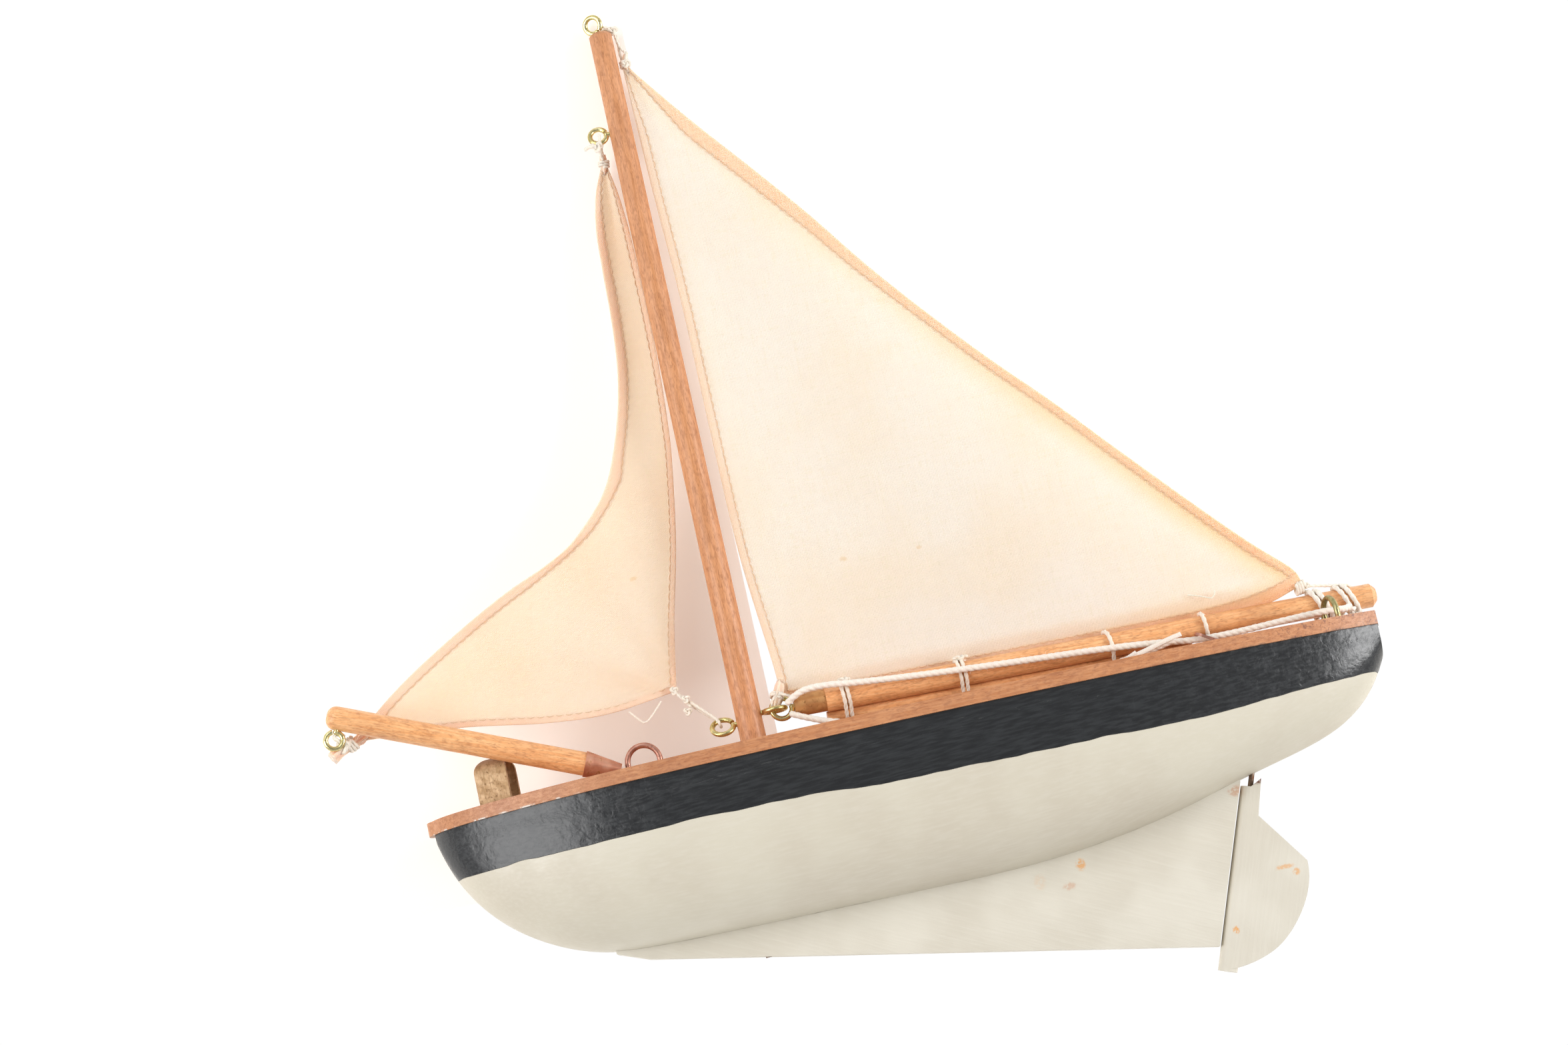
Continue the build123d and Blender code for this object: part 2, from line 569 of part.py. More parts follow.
os.makedirs("parts", exist_ok=True)
for node, shape in build_parts().items():
    write(shape, node)
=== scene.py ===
"""The looks of a wooden toy pond yacht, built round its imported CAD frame. Lengths are in metres."""

import json
import random
from math import atan2, cos, exp, hypot, pi, radians, sin, sqrt

import bpy
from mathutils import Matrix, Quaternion, Vector, noise
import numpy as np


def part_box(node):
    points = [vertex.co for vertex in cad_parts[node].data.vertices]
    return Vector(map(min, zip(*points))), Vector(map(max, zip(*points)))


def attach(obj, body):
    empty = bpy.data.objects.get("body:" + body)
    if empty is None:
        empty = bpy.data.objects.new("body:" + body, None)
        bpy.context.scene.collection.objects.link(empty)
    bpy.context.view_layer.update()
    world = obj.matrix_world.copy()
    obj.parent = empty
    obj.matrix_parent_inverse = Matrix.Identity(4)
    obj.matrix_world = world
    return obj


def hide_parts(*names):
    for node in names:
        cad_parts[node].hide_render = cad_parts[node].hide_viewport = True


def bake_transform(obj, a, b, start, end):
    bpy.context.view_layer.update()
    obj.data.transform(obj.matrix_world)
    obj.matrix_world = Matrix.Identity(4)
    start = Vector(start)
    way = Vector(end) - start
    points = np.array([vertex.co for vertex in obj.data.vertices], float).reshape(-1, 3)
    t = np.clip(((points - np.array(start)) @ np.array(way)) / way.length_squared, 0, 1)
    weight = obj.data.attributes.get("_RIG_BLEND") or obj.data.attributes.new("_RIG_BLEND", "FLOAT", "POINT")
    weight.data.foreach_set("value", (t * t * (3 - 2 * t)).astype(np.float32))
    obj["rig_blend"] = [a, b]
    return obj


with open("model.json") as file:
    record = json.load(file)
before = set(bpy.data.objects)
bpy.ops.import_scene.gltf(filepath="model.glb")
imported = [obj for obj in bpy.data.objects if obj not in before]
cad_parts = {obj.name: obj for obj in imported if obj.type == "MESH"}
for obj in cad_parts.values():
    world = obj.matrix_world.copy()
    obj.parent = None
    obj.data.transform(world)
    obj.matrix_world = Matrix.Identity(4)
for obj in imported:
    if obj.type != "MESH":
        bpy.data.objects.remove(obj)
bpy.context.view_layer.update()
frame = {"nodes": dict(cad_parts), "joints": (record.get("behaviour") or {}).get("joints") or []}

MM = 0.001
DECK_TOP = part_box("deck")[1].z
GOOSENECK = Vector(next(j for j in frame["joints"] if j["name"] == "boom_swing")["pos_m"])
UP = Vector((0, 0, 1))
PORT = Vector((0, -1, 0))
AFT = Vector((1, 0, 0))


def deck(x, y, z):
    """A place given in millimetres aft of the mast, to starboard and above the deck."""
    return Vector((x * MM, y * MM, DECK_TOP + z * MM))


def route(points):
    return [deck(*p) for p in points]


# ---- the spars' own frames ----
def ends_of(node, reach=0.0004):
    """The middles of a long node's two end faces, the one with the lower x first."""
    places = [v.co for v in frame["nodes"][node].data.vertices]
    low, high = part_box(node)
    first = [p for p in places if p.x < low.x + reach]
    last = [p for p in places if p.x > high.x - reach]
    return sum(first, Vector()) / len(first), sum(last, Vector()) / len(last)


class Spar:
    """A place along a spar, across it to starboard and up from it, in millimetres."""

    def __init__(self, start, end):
        self.start = start
        self.axis = (end - start).normalized()
        self.across = UP.cross(self.axis).normalized()
        self.up = self.axis.cross(self.across)

    def at(self, along, across, up):
        return self.start + (self.axis * along + self.across * across + self.up * up) * MM


boom_aft = ends_of("boom_spar")[1]
BOOM = Spar(GOOSENECK, boom_aft)
BOOM_RADIUS = 3.15
LOWER_RADIUS = 1.9
lower_middle = sum(ends_of("lower_spar"), Vector()) / 2 - GOOSENECK
LOWER_ACROSS = lower_middle.dot(BOOM.across) / MM
LOWER_UP = lower_middle.dot(BOOM.up) / MM
sprit_tip, sprit_heel = ends_of("bowsprit_spar", 0.003)


# ---- materials ----
def paint(red, green, blue):
    """A colour from its usual 0 to 255 values."""
    parts = [c / 255 for c in (red, green, blue)]
    return (*[c / 12.92 if c <= 0.04045 else ((c + 0.055) / 1.055) ** 2.4 for c in parts], 1.0)


class Look:
    """One material and its nodes. A method that makes a node returns the node's output."""

    def __init__(self, name, rough=0.5, metal=0.0, **sockets):
        self.material = bpy.data.materials.new(name)
        self.material.use_nodes = True
        self.tree = self.material.node_tree
        self.shader = self.tree.nodes["Principled BSDF"]
        self.place = self.node("ShaderNodeTexCoord").outputs["Object"]
        self.height = None
        self.set("Roughness", rough)
        self.set("Metallic", metal)
        for socket, value in sockets.items():
            self.set(socket.replace("_", " "), value)

    def node(self, kind, **settings):
        made = self.tree.nodes.new(kind)
        for key, value in settings.items():
            setattr(made, key, value)
        return made

    def feed(self, socket, value):
        if isinstance(value, bpy.types.NodeSocket):
            self.tree.links.new(value, socket)
        else:
            socket.default_value = value

    def set(self, socket, value):
        self.feed(self.shader.inputs[socket], value)

    def calc(self, operation, first, second=0.0, third=0.0):
        made = self.node("ShaderNodeMath", operation=operation)
        for socket, value in zip(made.inputs, (first, second, third)):
            self.feed(socket, value)
        return made.outputs[0]

    def times(self, first, *others):
        for other in others:
            first = self.calc("MULTIPLY", first, other)
        return first

    def ramp(self, value, low, high, to_low=0.0, to_high=1.0):
        made = self.node("ShaderNodeMapRange", interpolation_type="SMOOTHSTEP")
        for socket, given in zip(made.inputs, (value, low, high, to_low, to_high)):
            self.feed(socket, given)
        return made.outputs[0]

    def mix(self, share, first, second):
        made = self.node("ShaderNodeMix", data_type="RGBA")
        self.feed(made.inputs[0], share)
        self.feed(made.inputs[6], first)
        self.feed(made.inputs[7], second)
        return made.outputs[2]

    def noise(self, size, place=None, detail=2.0, rough=0.5, twist=0.0):
        made = self.node("ShaderNodeTexNoise")
        self.feed(made.inputs["Vector"], place or self.place)
        made.inputs["Scale"].default_value = 1 / size
        made.inputs["Detail"].default_value = detail
        made.inputs["Roughness"].default_value = rough
        made.inputs["Distortion"].default_value = twist
        return made.outputs[0]

    def stretched(self, axis, along, across):
        """Coordinates for a noise of size 1 whose blobs are that long along the axis."""
        made = self.node("ShaderNodeMapping", vector_type="TEXTURE")
        self.feed(made.inputs["Vector"], self.place)
        made.inputs["Rotation"].default_value = axis.to_track_quat("X", "Z").to_euler()
        made.inputs["Scale"].default_value = (along, across, across)
        return made.outputs[0]

    def split(self, place=None):
        made = self.node("ShaderNodeSeparateXYZ")
        self.feed(made.inputs[0], place or self.place)
        return made.outputs

    def strayed(self, place, reach, size):
        """Coordinates that wander by up to reach, in waves of that size."""
        wander = self.node("ShaderNodeTexNoise")
        wander.inputs["Scale"].default_value = 1 / size
        self.feed(wander.inputs["Vector"], self.place)
        shift = self.node("ShaderNodeVectorMath", operation="MULTIPLY_ADD")
        for socket, value in zip(shift.inputs, (wander.outputs[1], (reach, reach, reach), place)):
            self.feed(socket, value)
        return shift.outputs[0]

    def near(self, spot, sizes, ragged, blur=0.0006):
        """1 at a spot and 0 outside an ellipsoid of that half size round it, with a ragged rim."""
        made = self.node("ShaderNodeMapping", vector_type="TEXTURE")
        self.feed(made.inputs["Vector"], self.strayed(self.place, ragged, blur))
        made.inputs["Location"].default_value = spot + Vector((ragged, ragged, ragged)) / 2
        made.inputs["Scale"].default_value = sizes
        length = self.node("ShaderNodeVectorMath", operation="LENGTH")
        self.feed(length.inputs[0], made.outputs[0])
        return self.ramp(length.outputs["Value"], 1.0, 0.45)

    def attribute(self, name):
        return self.node("ShaderNodeAttribute", attribute_name=name).outputs["Fac"]

    def bump(self, height, depth):
        """Raises the surface by height, 0 to 1, times depth. Bumps add up."""
        made = self.node("ShaderNodeBump")
        made.inputs["Distance"].default_value = depth
        self.feed(made.inputs["Height"], height)
        if self.height is not None:
            self.feed(made.inputs["Normal"], self.height)
        self.height = made.outputs[0]
        self.set("Normal", self.height)


def dowel_wood(name, axis, light, middle, dark, varnish=0.06):
    """Varnished close-grained wood: soft streaks along it, short dark flecks and cloudy patches."""
    look = Look(name, Coat_Weight=varnish, Coat_Roughness=0.22)
    light, middle, dark = paint(*light), paint(*middle), paint(*dark)
    streaks = look.noise(1.0, look.stretched(axis, 0.0090, 0.00050), detail=3.0, rough=0.6)
    flecks = look.noise(1.0, look.stretched(axis, 0.0017, 0.00014), detail=1.5)
    figure = look.noise(1.0, look.stretched(axis, 0.0019, 0.0009), detail=3.0, twist=0.5)
    clouds = look.noise(0.014)
    colour = look.mix(look.ramp(streaks, 0.32, 0.70), middle, light)
    colour = look.mix(look.ramp(figure, 0.44, 0.72, 0.0, 0.34), colour, dark)
    colour = look.mix(look.ramp(clouds, 0.45, 0.75, 0.0, 0.25), colour, dark)
    colour = look.mix(look.ramp(flecks, 0.56, 0.70, 0.0, 0.55), colour, dark)
    look.set("Base Color", colour)
    look.set("Roughness", look.ramp(figure, 0.3, 0.7, 0.38, 0.52))
    look.bump(streaks, 0.00002)
    look.bump(flecks, 0.00003)
    return look


def boom_wood(name, axis):
    return dowel_wood(name, axis, (249, 195, 140), (236, 168, 108), (160, 86, 42), 0.25).material


def deck_wood():
    """Reddish board: worn and bruised along its edge, with paint left on its lower rim."""
    look = dowel_wood("deck_wood", AFT, (206, 146, 102), (188, 124, 80), (136, 78, 50), 0.08)
    x, _, z = look.split()
    colour = look.shader.inputs["Base Color"].links[0].from_socket
    rim = look.ramp(z, DECK_TOP - 0.0030, DECK_TOP - 0.0034)
    chips = look.ramp(look.noise(0.004, detail=4.0, rough=0.7), 0.50, 0.60)
    bow = look.ramp(x, -0.040, -0.052)
    bruises = look.ramp(look.noise(0.0016, detail=3.0, twist=2.0), 0.56, 0.66)
    stern = look.ramp(x, 0.128, 0.142)
    colour = look.mix(look.times(bruises, stern, 0.75), colour, paint(122, 76, 62))
    colour = look.mix(look.times(rim, chips, bow), colour, paint(226, 218, 208))
    black = look.ramp(look.noise(0.0045, detail=4.0, rough=0.7), 0.42, 0.66, 0.0, 0.8)
    stern_rim = look.times(look.ramp(z, DECK_TOP - 0.0029, DECK_TOP - 0.0036), look.ramp(x, 0.08, 0.13))
    colour = look.mix(look.times(stern_rim, black), colour, paint(48, 44, 44))
    look.set("Base Color", colour)
    return look.material


WATERLINE = -0.0165
WATERLINE_MIDDLE = -0.0018
WATERLINE_STERN = 0.0028


def hull_paint():
    """Brushed gloss enamel, black over cream, cut in by hand along the waterline."""
    look = Look("hull_paint", Coat_Weight=0.0)
    x, _, z = look.split()
    wobble = look.ramp(look.noise(0.014), 0.2, 0.8, -0.0003, 0.0003)
    line = look.calc("ADD", wobble, DECK_TOP + WATERLINE)
    line = look.calc("ADD", line, look.ramp(x, 0.0, 0.040, 0.0, WATERLINE_MIDDLE))
    line = look.calc("ADD", line, look.ramp(x, 0.110, 0.160, 0.0, WATERLINE_STERN))
    above = look.calc("SUBTRACT", z, line)
    black = look.ramp(above, -0.00006, 0.00006)

    strokes = look.noise(1.0, look.stretched(Vector((1, 0, 0.04)), 0.0050, 0.00065))
    lumps = look.noise(0.0070)
    pores = look.noise(0.0009)
    tar = look.mix(look.ramp(strokes, 0.3, 0.75), paint(35, 36, 38), paint(47, 49, 51))
    scratch = look.noise(1.0, look.stretched(Vector((1, 0, 0.01)), 0.006, 0.00022), detail=2.0, rough=0.7)
    lip = look.times(look.ramp(z, DECK_TOP - 0.0092, DECK_TOP - 0.0078),
                    look.ramp(z, DECK_TOP - 0.0052, DECK_TOP - 0.0066))
    rubbed = look.times(look.ramp(scratch, 0.70, 0.76), lip, 0.3)
    tar = look.mix(rubbed, tar, paint(150, 150, 146))
    chips = look.ramp(look.noise(0.0032, detail=5.0, rough=0.85), 0.735, 0.75)
    tar = look.mix(chips, tar, paint(205, 208, 206))

    warm = look.mix(look.ramp(look.noise(0.030), 0.35, 0.7), paint(212, 205, 187), paint(204, 195, 177))
    stroke_share = look.times(look.ramp(strokes, 0.35, 0.8), 0.35)
    cream = look.mix(stroke_share, warm, paint(219, 213, 199))
    specks = look.ramp(look.noise(0.0021, detail=4.0, rough=0.8), 0.73, 0.76)
    cream = look.mix(look.times(specks, 0.5), cream, paint(176, 160, 136))
    look.set("Base Color", look.mix(black, cream, tar))
    gloss = look.ramp(strokes, 0.3, 0.7, 0.22, 0.31)
    satin = look.ramp(lumps, 0.3, 0.7, 0.36, 0.50)
    roughness = look.node("ShaderNodeMix", data_type="FLOAT")
    for socket, value in zip((0, 2, 3), (black, satin, gloss)):
        look.feed(roughness.inputs[socket], value)
    look.set("Roughness", roughness.outputs[0])
    look.bump(black, 0.00012)
    look.bump(lumps, 0.00025)
    look.bump(look.times(look.noise(0.0022, detail=2.0, twist=0.6), black), 0.00009)
    look.bump(strokes, 0.00003)
    look.bump(look.times(pores, black), 0.00003)
    look.bump(look.times(lip, scratch), -0.00004)
    return look.material


def cream_paint(name, brush, marks):
    """Hand-painted cream enamel, stroked one way. A rust mark has its place, size, colour and strength."""
    look = Look(name)
    strokes = look.noise(1.0, look.stretched(brush, 0.012, 0.0006), detail=3.0, rough=0.6)
    clouds = look.noise(0.018)
    colour = look.mix(look.ramp(clouds, 0.35, 0.7), paint(210, 203, 188), paint(219, 213, 199))
    colour = look.mix(look.times(look.ramp(strokes, 0.4, 0.8), 0.3), colour, paint(225, 220, 207))
    specks = look.ramp(look.noise(0.0016, detail=4.0, rough=0.8), 0.74, 0.78)
    colour = look.mix(look.times(specks, 0.45), colour, paint(170, 150, 120))
    for spot, sizes, stain, strength in marks:
        blot = look.near(spot, sizes, 0.0008)
        grain = look.ramp(look.noise(0.0007, detail=3.0), 0.30, 0.55)
        colour = look.mix(look.times(blot, grain, strength), colour, stain)
    look.set("Base Color", colour)
    look.set("Roughness", look.ramp(strokes, 0.3, 0.7, 0.34, 0.48))
    look.bump(strokes, 0.00010)
    look.bump(look.noise(0.0035, detail=3.0), 0.00012)
    return look.material


def metal(name, colours, rough, mottle=0.0012, shine=1.0, depth=0.00004):
    """Worn metal in three colours, the last one the tarnish in its hollows."""
    bright, usual, tarnish = [paint(*colour) for colour in colours]
    look = Look(name, metal=shine)
    cloud = look.noise(mottle * 2.2, detail=3.0)
    fine = look.noise(mottle, detail=4.0, rough=0.7)
    colour = look.mix(look.ramp(cloud, 0.35, 0.65), usual, bright)
    colour = look.mix(look.ramp(fine, 0.55, 0.72), colour, tarnish)
    look.set("Base Color", colour)
    look.set("Roughness", look.ramp(fine, 0.3, 0.7, rough * 0.8, rough * 1.25))
    look.bump(fine, depth)
    return look


def cotton(name, colour, painted_shade_and_tone, fibre):
    """Loose cotton yarn: pale fibres with painted shade in the hollows between them, and patches of the same darker
    tone at random.
    """
    look = Look(name, rough=0.85, Sheen_Weight=0.35, Sheen_Roughness=0.5, Subsurface_Weight=0.15,
                Subsurface_Radius=(0.0010, 0.0008, 0.0006), Subsurface_Scale=0.5)
    fluff = look.noise(fibre, detail=3.0, rough=0.7)
    drift = look.noise(0.004)
    # Painted shade: where the fibre noise is low, and the bump sinks the surface, the yarn takes the darker colour.
    tone = look.mix(look.ramp(fluff, 0.35, 0.62), painted_shade_and_tone, colour)
    look.set("Base Color", look.mix(look.ramp(drift, 0.55, 0.8, 0.0, 0.3), tone, painted_shade_and_tone))
    look.bump(fluff, fibre * 0.3)
    return look.material


WEAVE = 0.00039


def sail_cloth(name, turn, tones, hem_tan_and_glow, stains):
    """Plain-weave cotton lawn: crossing threads with painted shade in the gaps between them, slubs, tan hems with a
    painted warm glow inside them and puckers at the stitches.
    """
    look = Look(name, rough=0.88, Sheen_Weight=0.15, Sheen_Roughness=0.6, Subsurface_Weight=1.0,
                Subsurface_Radius=(0.0011, 0.0010, 0.0009), Subsurface_Scale=1.0)
    turned = look.node("ShaderNodeMapping")
    look.feed(turned.inputs["Vector"], look.place)
    turned.inputs["Rotation"].default_value = (0, radians(turn), 0)
    across, _, up = look.split(look.strayed(turned.outputs[0], 0.0007, 0.006))
    warp, weft = [look.calc("SINE", look.times(way, pi / WEAVE)) for way in (across, up)]
    over = look.calc("MULTIPLY_ADD", look.times(warp, weft), 0.5, 0.5)
    warp_top = look.times(warp, warp, over)
    weft_top = look.times(weft, weft, look.calc("SUBTRACT", 1.0, over))
    threads = look.calc("ADD", warp_top, weft_top)

    hem = look.attribute("hem")
    along = look.attribute("hem_along")
    inside = look.attribute("hem_inside")
    slubs = look.calc("ADD", *[look.times(look.noise(1.0, look.stretched(way, 0.016, 0.0005)), 0.5)
                               for way in (AFT, UP)])
    clouds = look.noise(0.035)
    cloth = look.mix(look.ramp(clouds, 0.35, 0.7), *tones)
    # Painted shade: the gaps between the threads are darkened to tan.
    cloth = look.mix(look.ramp(threads, 0.15, 0.0, 0.0, 0.35), cloth, paint(236, 200, 160))
    cloth = look.mix(look.ramp(slubs, 0.52, 0.66, 0.0, 0.30), cloth, paint(243, 217, 186))
    for spot, size in stains:
        blot = look.near(spot, (size, 0.02, size * 0.6), 0.001)
        cloth = look.mix(look.times(blot, 0.35), cloth, paint(226, 172, 104))
    # Painted glow: a warm peach along the inner side of the hems, stronger towards the clew, standing in for light
    # through the layered cloth.
    clew = look.times(look.ramp(look.split()[0], 0.020, 0.150, 0.45, 1.25), hem_tan_and_glow)
    cloth = look.mix(look.times(look.ramp(inside, 0.0080, 0.001), clew), cloth, paint(245, 197, 152))
    tan = look.mix(look.ramp(slubs, 0.4, 0.6), paint(249, 210, 176), paint(245, 200, 162))
    cloth = look.mix(look.times(hem, hem_tan_and_glow), cloth, tan)
    look.set("Base Color", cloth)

    beat = look.calc("SINE", look.times(along, 2 * pi / STITCH))
    pull = look.times(beat, hem, 0.5)
    look.bump(threads, 0.00008)
    look.bump(slubs, 0.00012)
    look.bump(pull, 0.00007)
    return look.material


STITCH = 0.0025


# ---- mesh building ----
class Build:
    """Collects points and faces, then makes one piece of them."""

    def __init__(self):
        self.points = []
        self.faces = []

    def ring_tube(self, rings):
        """A skin over rings of equally many points, closed at its ends."""
        base = len(self.points)
        sides = len(rings[0])
        last = base + (len(rings) - 1) * sides
        for ring in rings:
            self.points.extend(ring)
        for a in range(base, last, sides):
            for k in range(sides):
                n = (k + 1) % sides
                self.faces.append((a + k, a + n, a + sides + n, a + sides + k))
        self.faces.append(tuple(base + k for k in reversed(range(sides))))
        self.faces.append(tuple(last + k for k in range(sides)))

    def piece(self, name, material, node=None):
        mesh = bpy.data.meshes.new(name)
        mesh.from_pydata(self.points, [], self.faces)
        mesh.polygons.foreach_set("use_smooth", [True] * len(mesh.polygons))
        mesh.materials.append(material)
        made = bpy.data.objects.new(name, mesh)
        bpy.context.scene.collection.objects.link(made)
        if node:
            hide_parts(node)
        return made


def nurbs_line(points):
    """The points of the smooth NURBS spline that has the route's points as its control points."""
    curve = bpy.data.curves.new("route", "CURVE")
    curve.dimensions = "3D"
    spline = curve.splines.new("NURBS")
    spline.points.add(len(points) - 1)
    for control, place in zip(spline.points, points):
        control.co = (*place, 1)
    spline.order_u = 3
    spline.use_endpoint_u = True
    spline.resolution_u = 24
    holder = bpy.data.objects.new("route", curve)
    mesh = bpy.data.meshes.new_from_object(holder)
    line = [v.co.copy() for v in mesh.vertices]
    bpy.data.meshes.remove(mesh)
    bpy.data.objects.remove(holder)
    bpy.data.curves.remove(curve)
    return line


def evenly(line, step):
    """The same line with its points about one step apart."""
    reach = [0.0]
    for a, b in zip(line, line[1:]):
        reach.append(reach[-1] + (b - a).length)
    count = max(2, round(reach[-1] / step))
    out = []
    i = 0
    for k in range(count + 1):
        wanted = reach[-1] * k / count
        while i < len(line) - 2 and reach[i + 1] < wanted:
            i += 1
        span = max(reach[i + 1] - reach[i], 1e-12)
        out.append(line[i].lerp(line[i + 1], (wanted - reach[i]) / span))
    return out


def strand_radius(angle, strands):
    """Outline of round strands lying side by side: the radius at an angle, 1 at its largest."""
    centre, own = 0.26, 0.74
    sector = 2 * pi / strands
    off = (angle + sector / 2) % sector - sector / 2
    return centre * cos(off) + sqrt(max(own ** 2 - (centre * sin(off)) ** 2, 0.0))


def add_rope(build, line, diameter, strands=3, lay=3.1, fray=0.0, seed=1):
    """Adds a twisted yarn along a line. lay is the length of one full twist, in diameters."""
    draw = random.Random(seed)
    sides = strands * 6
    turn_per_length = 2 * pi / (lay * diameter)
    side = (line[1] - line[0]).orthogonal().normalized()
    gone = 0.0
    rings = []
    last = len(line) - 1
    for i, place in enumerate(line):
        ahead = (line[min(i + 1, last)] - line[max(i - 1, 0)]).normalized()
        side = (side - ahead * side.dot(ahead)).normalized()
        other = ahead.cross(side)
        gone += (place - line[max(i - 1, 0)]).length
        ends = 1.0 if 0 < i < last else 0.55
        swell = ends * (1 + draw.uniform(-0.03, 0.03))
        ring = []
        for k in range(sides):
            angle = 2 * pi * k / sides
            out = strand_radius(angle, strands) * diameter / 2 * swell
            spin = angle + gone * turn_per_length
            ring.append(place + (side * cos(spin) + other * sin(spin)) * out)
        rings.append(ring)
    build.ring_tube(rings)
    if fray:
        add_fluff(build, line, diameter, fray, draw)


def add_fluff(build, line, diameter, count, draw):
    """Loose fibres that stand off a yarn: short curved hairs along it."""
    for _ in range(int(count)):
        i = draw.randrange(2, len(line) - 2)
        ahead = (line[i + 1] - line[i]).normalized()
        side = ahead.orthogonal().normalized()
        side.rotate(Quaternion(ahead, draw.uniform(0, 2 * pi)))
        reach = diameter * draw.uniform(0.15, 0.45)
        bend = side.cross(ahead) * draw.uniform(-0.8, 0.8) + ahead * draw.uniform(-2.0, 2.0)
        root = line[i] + side * diameter * 0.44
        hair = [root + side * reach * t + bend * reach * t * t for t in (0, 0.35, 0.7, 1.0)]
        thin = 0.00002
        build.ring_tube([[p + q * thin for q in (ahead, side.cross(ahead), -ahead)] for p in hair])


def knot_line(centre, size, normal):
    """An overhand knot's closed loop, as big as size across."""
    u = normal.orthogonal().normalized()
    v = normal.cross(u).normalized()
    line = []
    for k in range(49):
        a = 2 * pi * k / 48
        x = (sin(a) + 2 * sin(2 * a)) / 3
        y = (cos(a) - 2 * cos(2 * a)) / 3
        line.append(centre + (u * x + v * y - normal * sin(3 * a) / 3) * size / 2)
    return line


def add_thread(build, points, diameter, seed, fray=0.0):
    add_rope(build, evenly(nurbs_line(points), diameter * 0.28), diameter, 2, 3.4, fray, seed=seed)


def add_knot(build, centre, size, diameter, seed, normal=PORT):
    add_rope(build, evenly(knot_line(centre, size, normal), diameter * 0.3), diameter, 2, 3.4, seed=seed)


def add_wraps(build, start, end, radius, turns, diameter, seed, lean=0.0):
    """Turns of thread wound round the line from start to end."""
    axis = (end - start).normalized()
    u = axis.orthogonal().normalized()
    v = axis.cross(u)
    draw = random.Random(seed)
    steps = int(turns * 20)
    begin = draw.uniform(0, 2 * pi)
    line = []
    for k in range(steps + 1):
        share = k / steps
        angle = begin + turns * 2 * pi * share
        out = radius * (1 + 0.05 * sin(3 * angle + seed))
        middle = start.lerp(end, share) + axis * lean * sin(angle)
        line.append(middle + (u * cos(angle) + v * sin(angle)) * out)
    add_rope(build, evenly(line, diameter * 0.3), diameter, 2, 3.4, seed=seed)


def add_bundle(build, points, radii, lobes, seed):
    """A gathered corner of cloth: a pleated rope of fabric along a line, with its own radius at each point."""
    line = evenly(nurbs_line(points), 0.0004)
    side = PORT.copy()
    last = len(line) - 1
    rings = []
    for i, place in enumerate(line):
        ahead = (line[min(i + 1, last)] - line[max(i - 1, 0)]).normalized()
        side = (side - ahead * side.dot(ahead)).normalized()
        other = ahead.cross(side)
        at = i / last * (len(radii) - 1)
        low = min(int(at), len(radii) - 2)
        radius = radii[low] + (radii[low + 1] - radii[low]) * (at - low)
        ring = []
        for k in range(lobes * 6):
            angle = 2 * pi * k / (lobes * 6)
            pleat = 1 + 0.17 * cos(lobes * angle + 1.3 * sin(i * 0.12 + seed))
            pleat += 0.10 * noise.noise(Vector((cos(angle) * 2, sin(angle) * 2, i * 0.10 + seed)))
            out = side * cos(angle) * 1.25 + other * sin(angle) * 0.85
            ring.append(place + out * radius * pleat * MM)
        rings.append(ring)
    build.ring_tube(rings)


# ---- sails ----
def rounded(points, per_span=10):
    """A smooth line through the points."""
    ends = [points[0] * 2 - points[1], *points, points[-1] * 2 - points[-2]]
    line = []
    for p0, p1, p2, p3 in zip(ends, ends[1:], ends[2:], ends[3:]):
        for k in range(per_span):
            t = k / per_span
            line.append(0.5 * (2 * p1 + (p2 - p0) * t + (2 * p0 - 5 * p1 + 4 * p2 - p3) * t ** 2
                               + (3 * p1 - p0 - 3 * p2 + p3) * t ** 3))
    return evenly([*line, points[-1]], 0.0002)


def share_of(line, share):
    place = share * (len(line) - 1)
    low = min(int(place), len(line) - 2)
    return line[low].lerp(line[low + 1], place - low)


def stations(length, start_hem, end_hem, inner):
    """Shares of a line where the sail's grid lies: close in its two hems and even between them."""
    step = 0.00025
    squeeze = min(1.0, 0.42 * length / (start_hem + end_hem + 2 * step))
    first = [start_hem * k for k in (0, 0.10, 0.35, 0.70, 1.0)] + [start_hem + step]
    last = [end_hem * k for k in (0, 0.10, 0.35, 0.70, 1.0)] + [end_hem + step]
    low = [d * squeeze / length for d in first]
    high = [1 - d * squeeze / length for d in reversed(last)]
    between = [low[-1] + (high[0] - low[-1]) * k / inner for k in range(1, inner)]
    return low + between + high


HEM_LINES = 5   # grid lines from a sail's edge to its hem's inner side
LEECH_TAN, FOOT_TAN, LUFF_TAN = 1.0, 0.35, 0.15   # how tanned each hem is


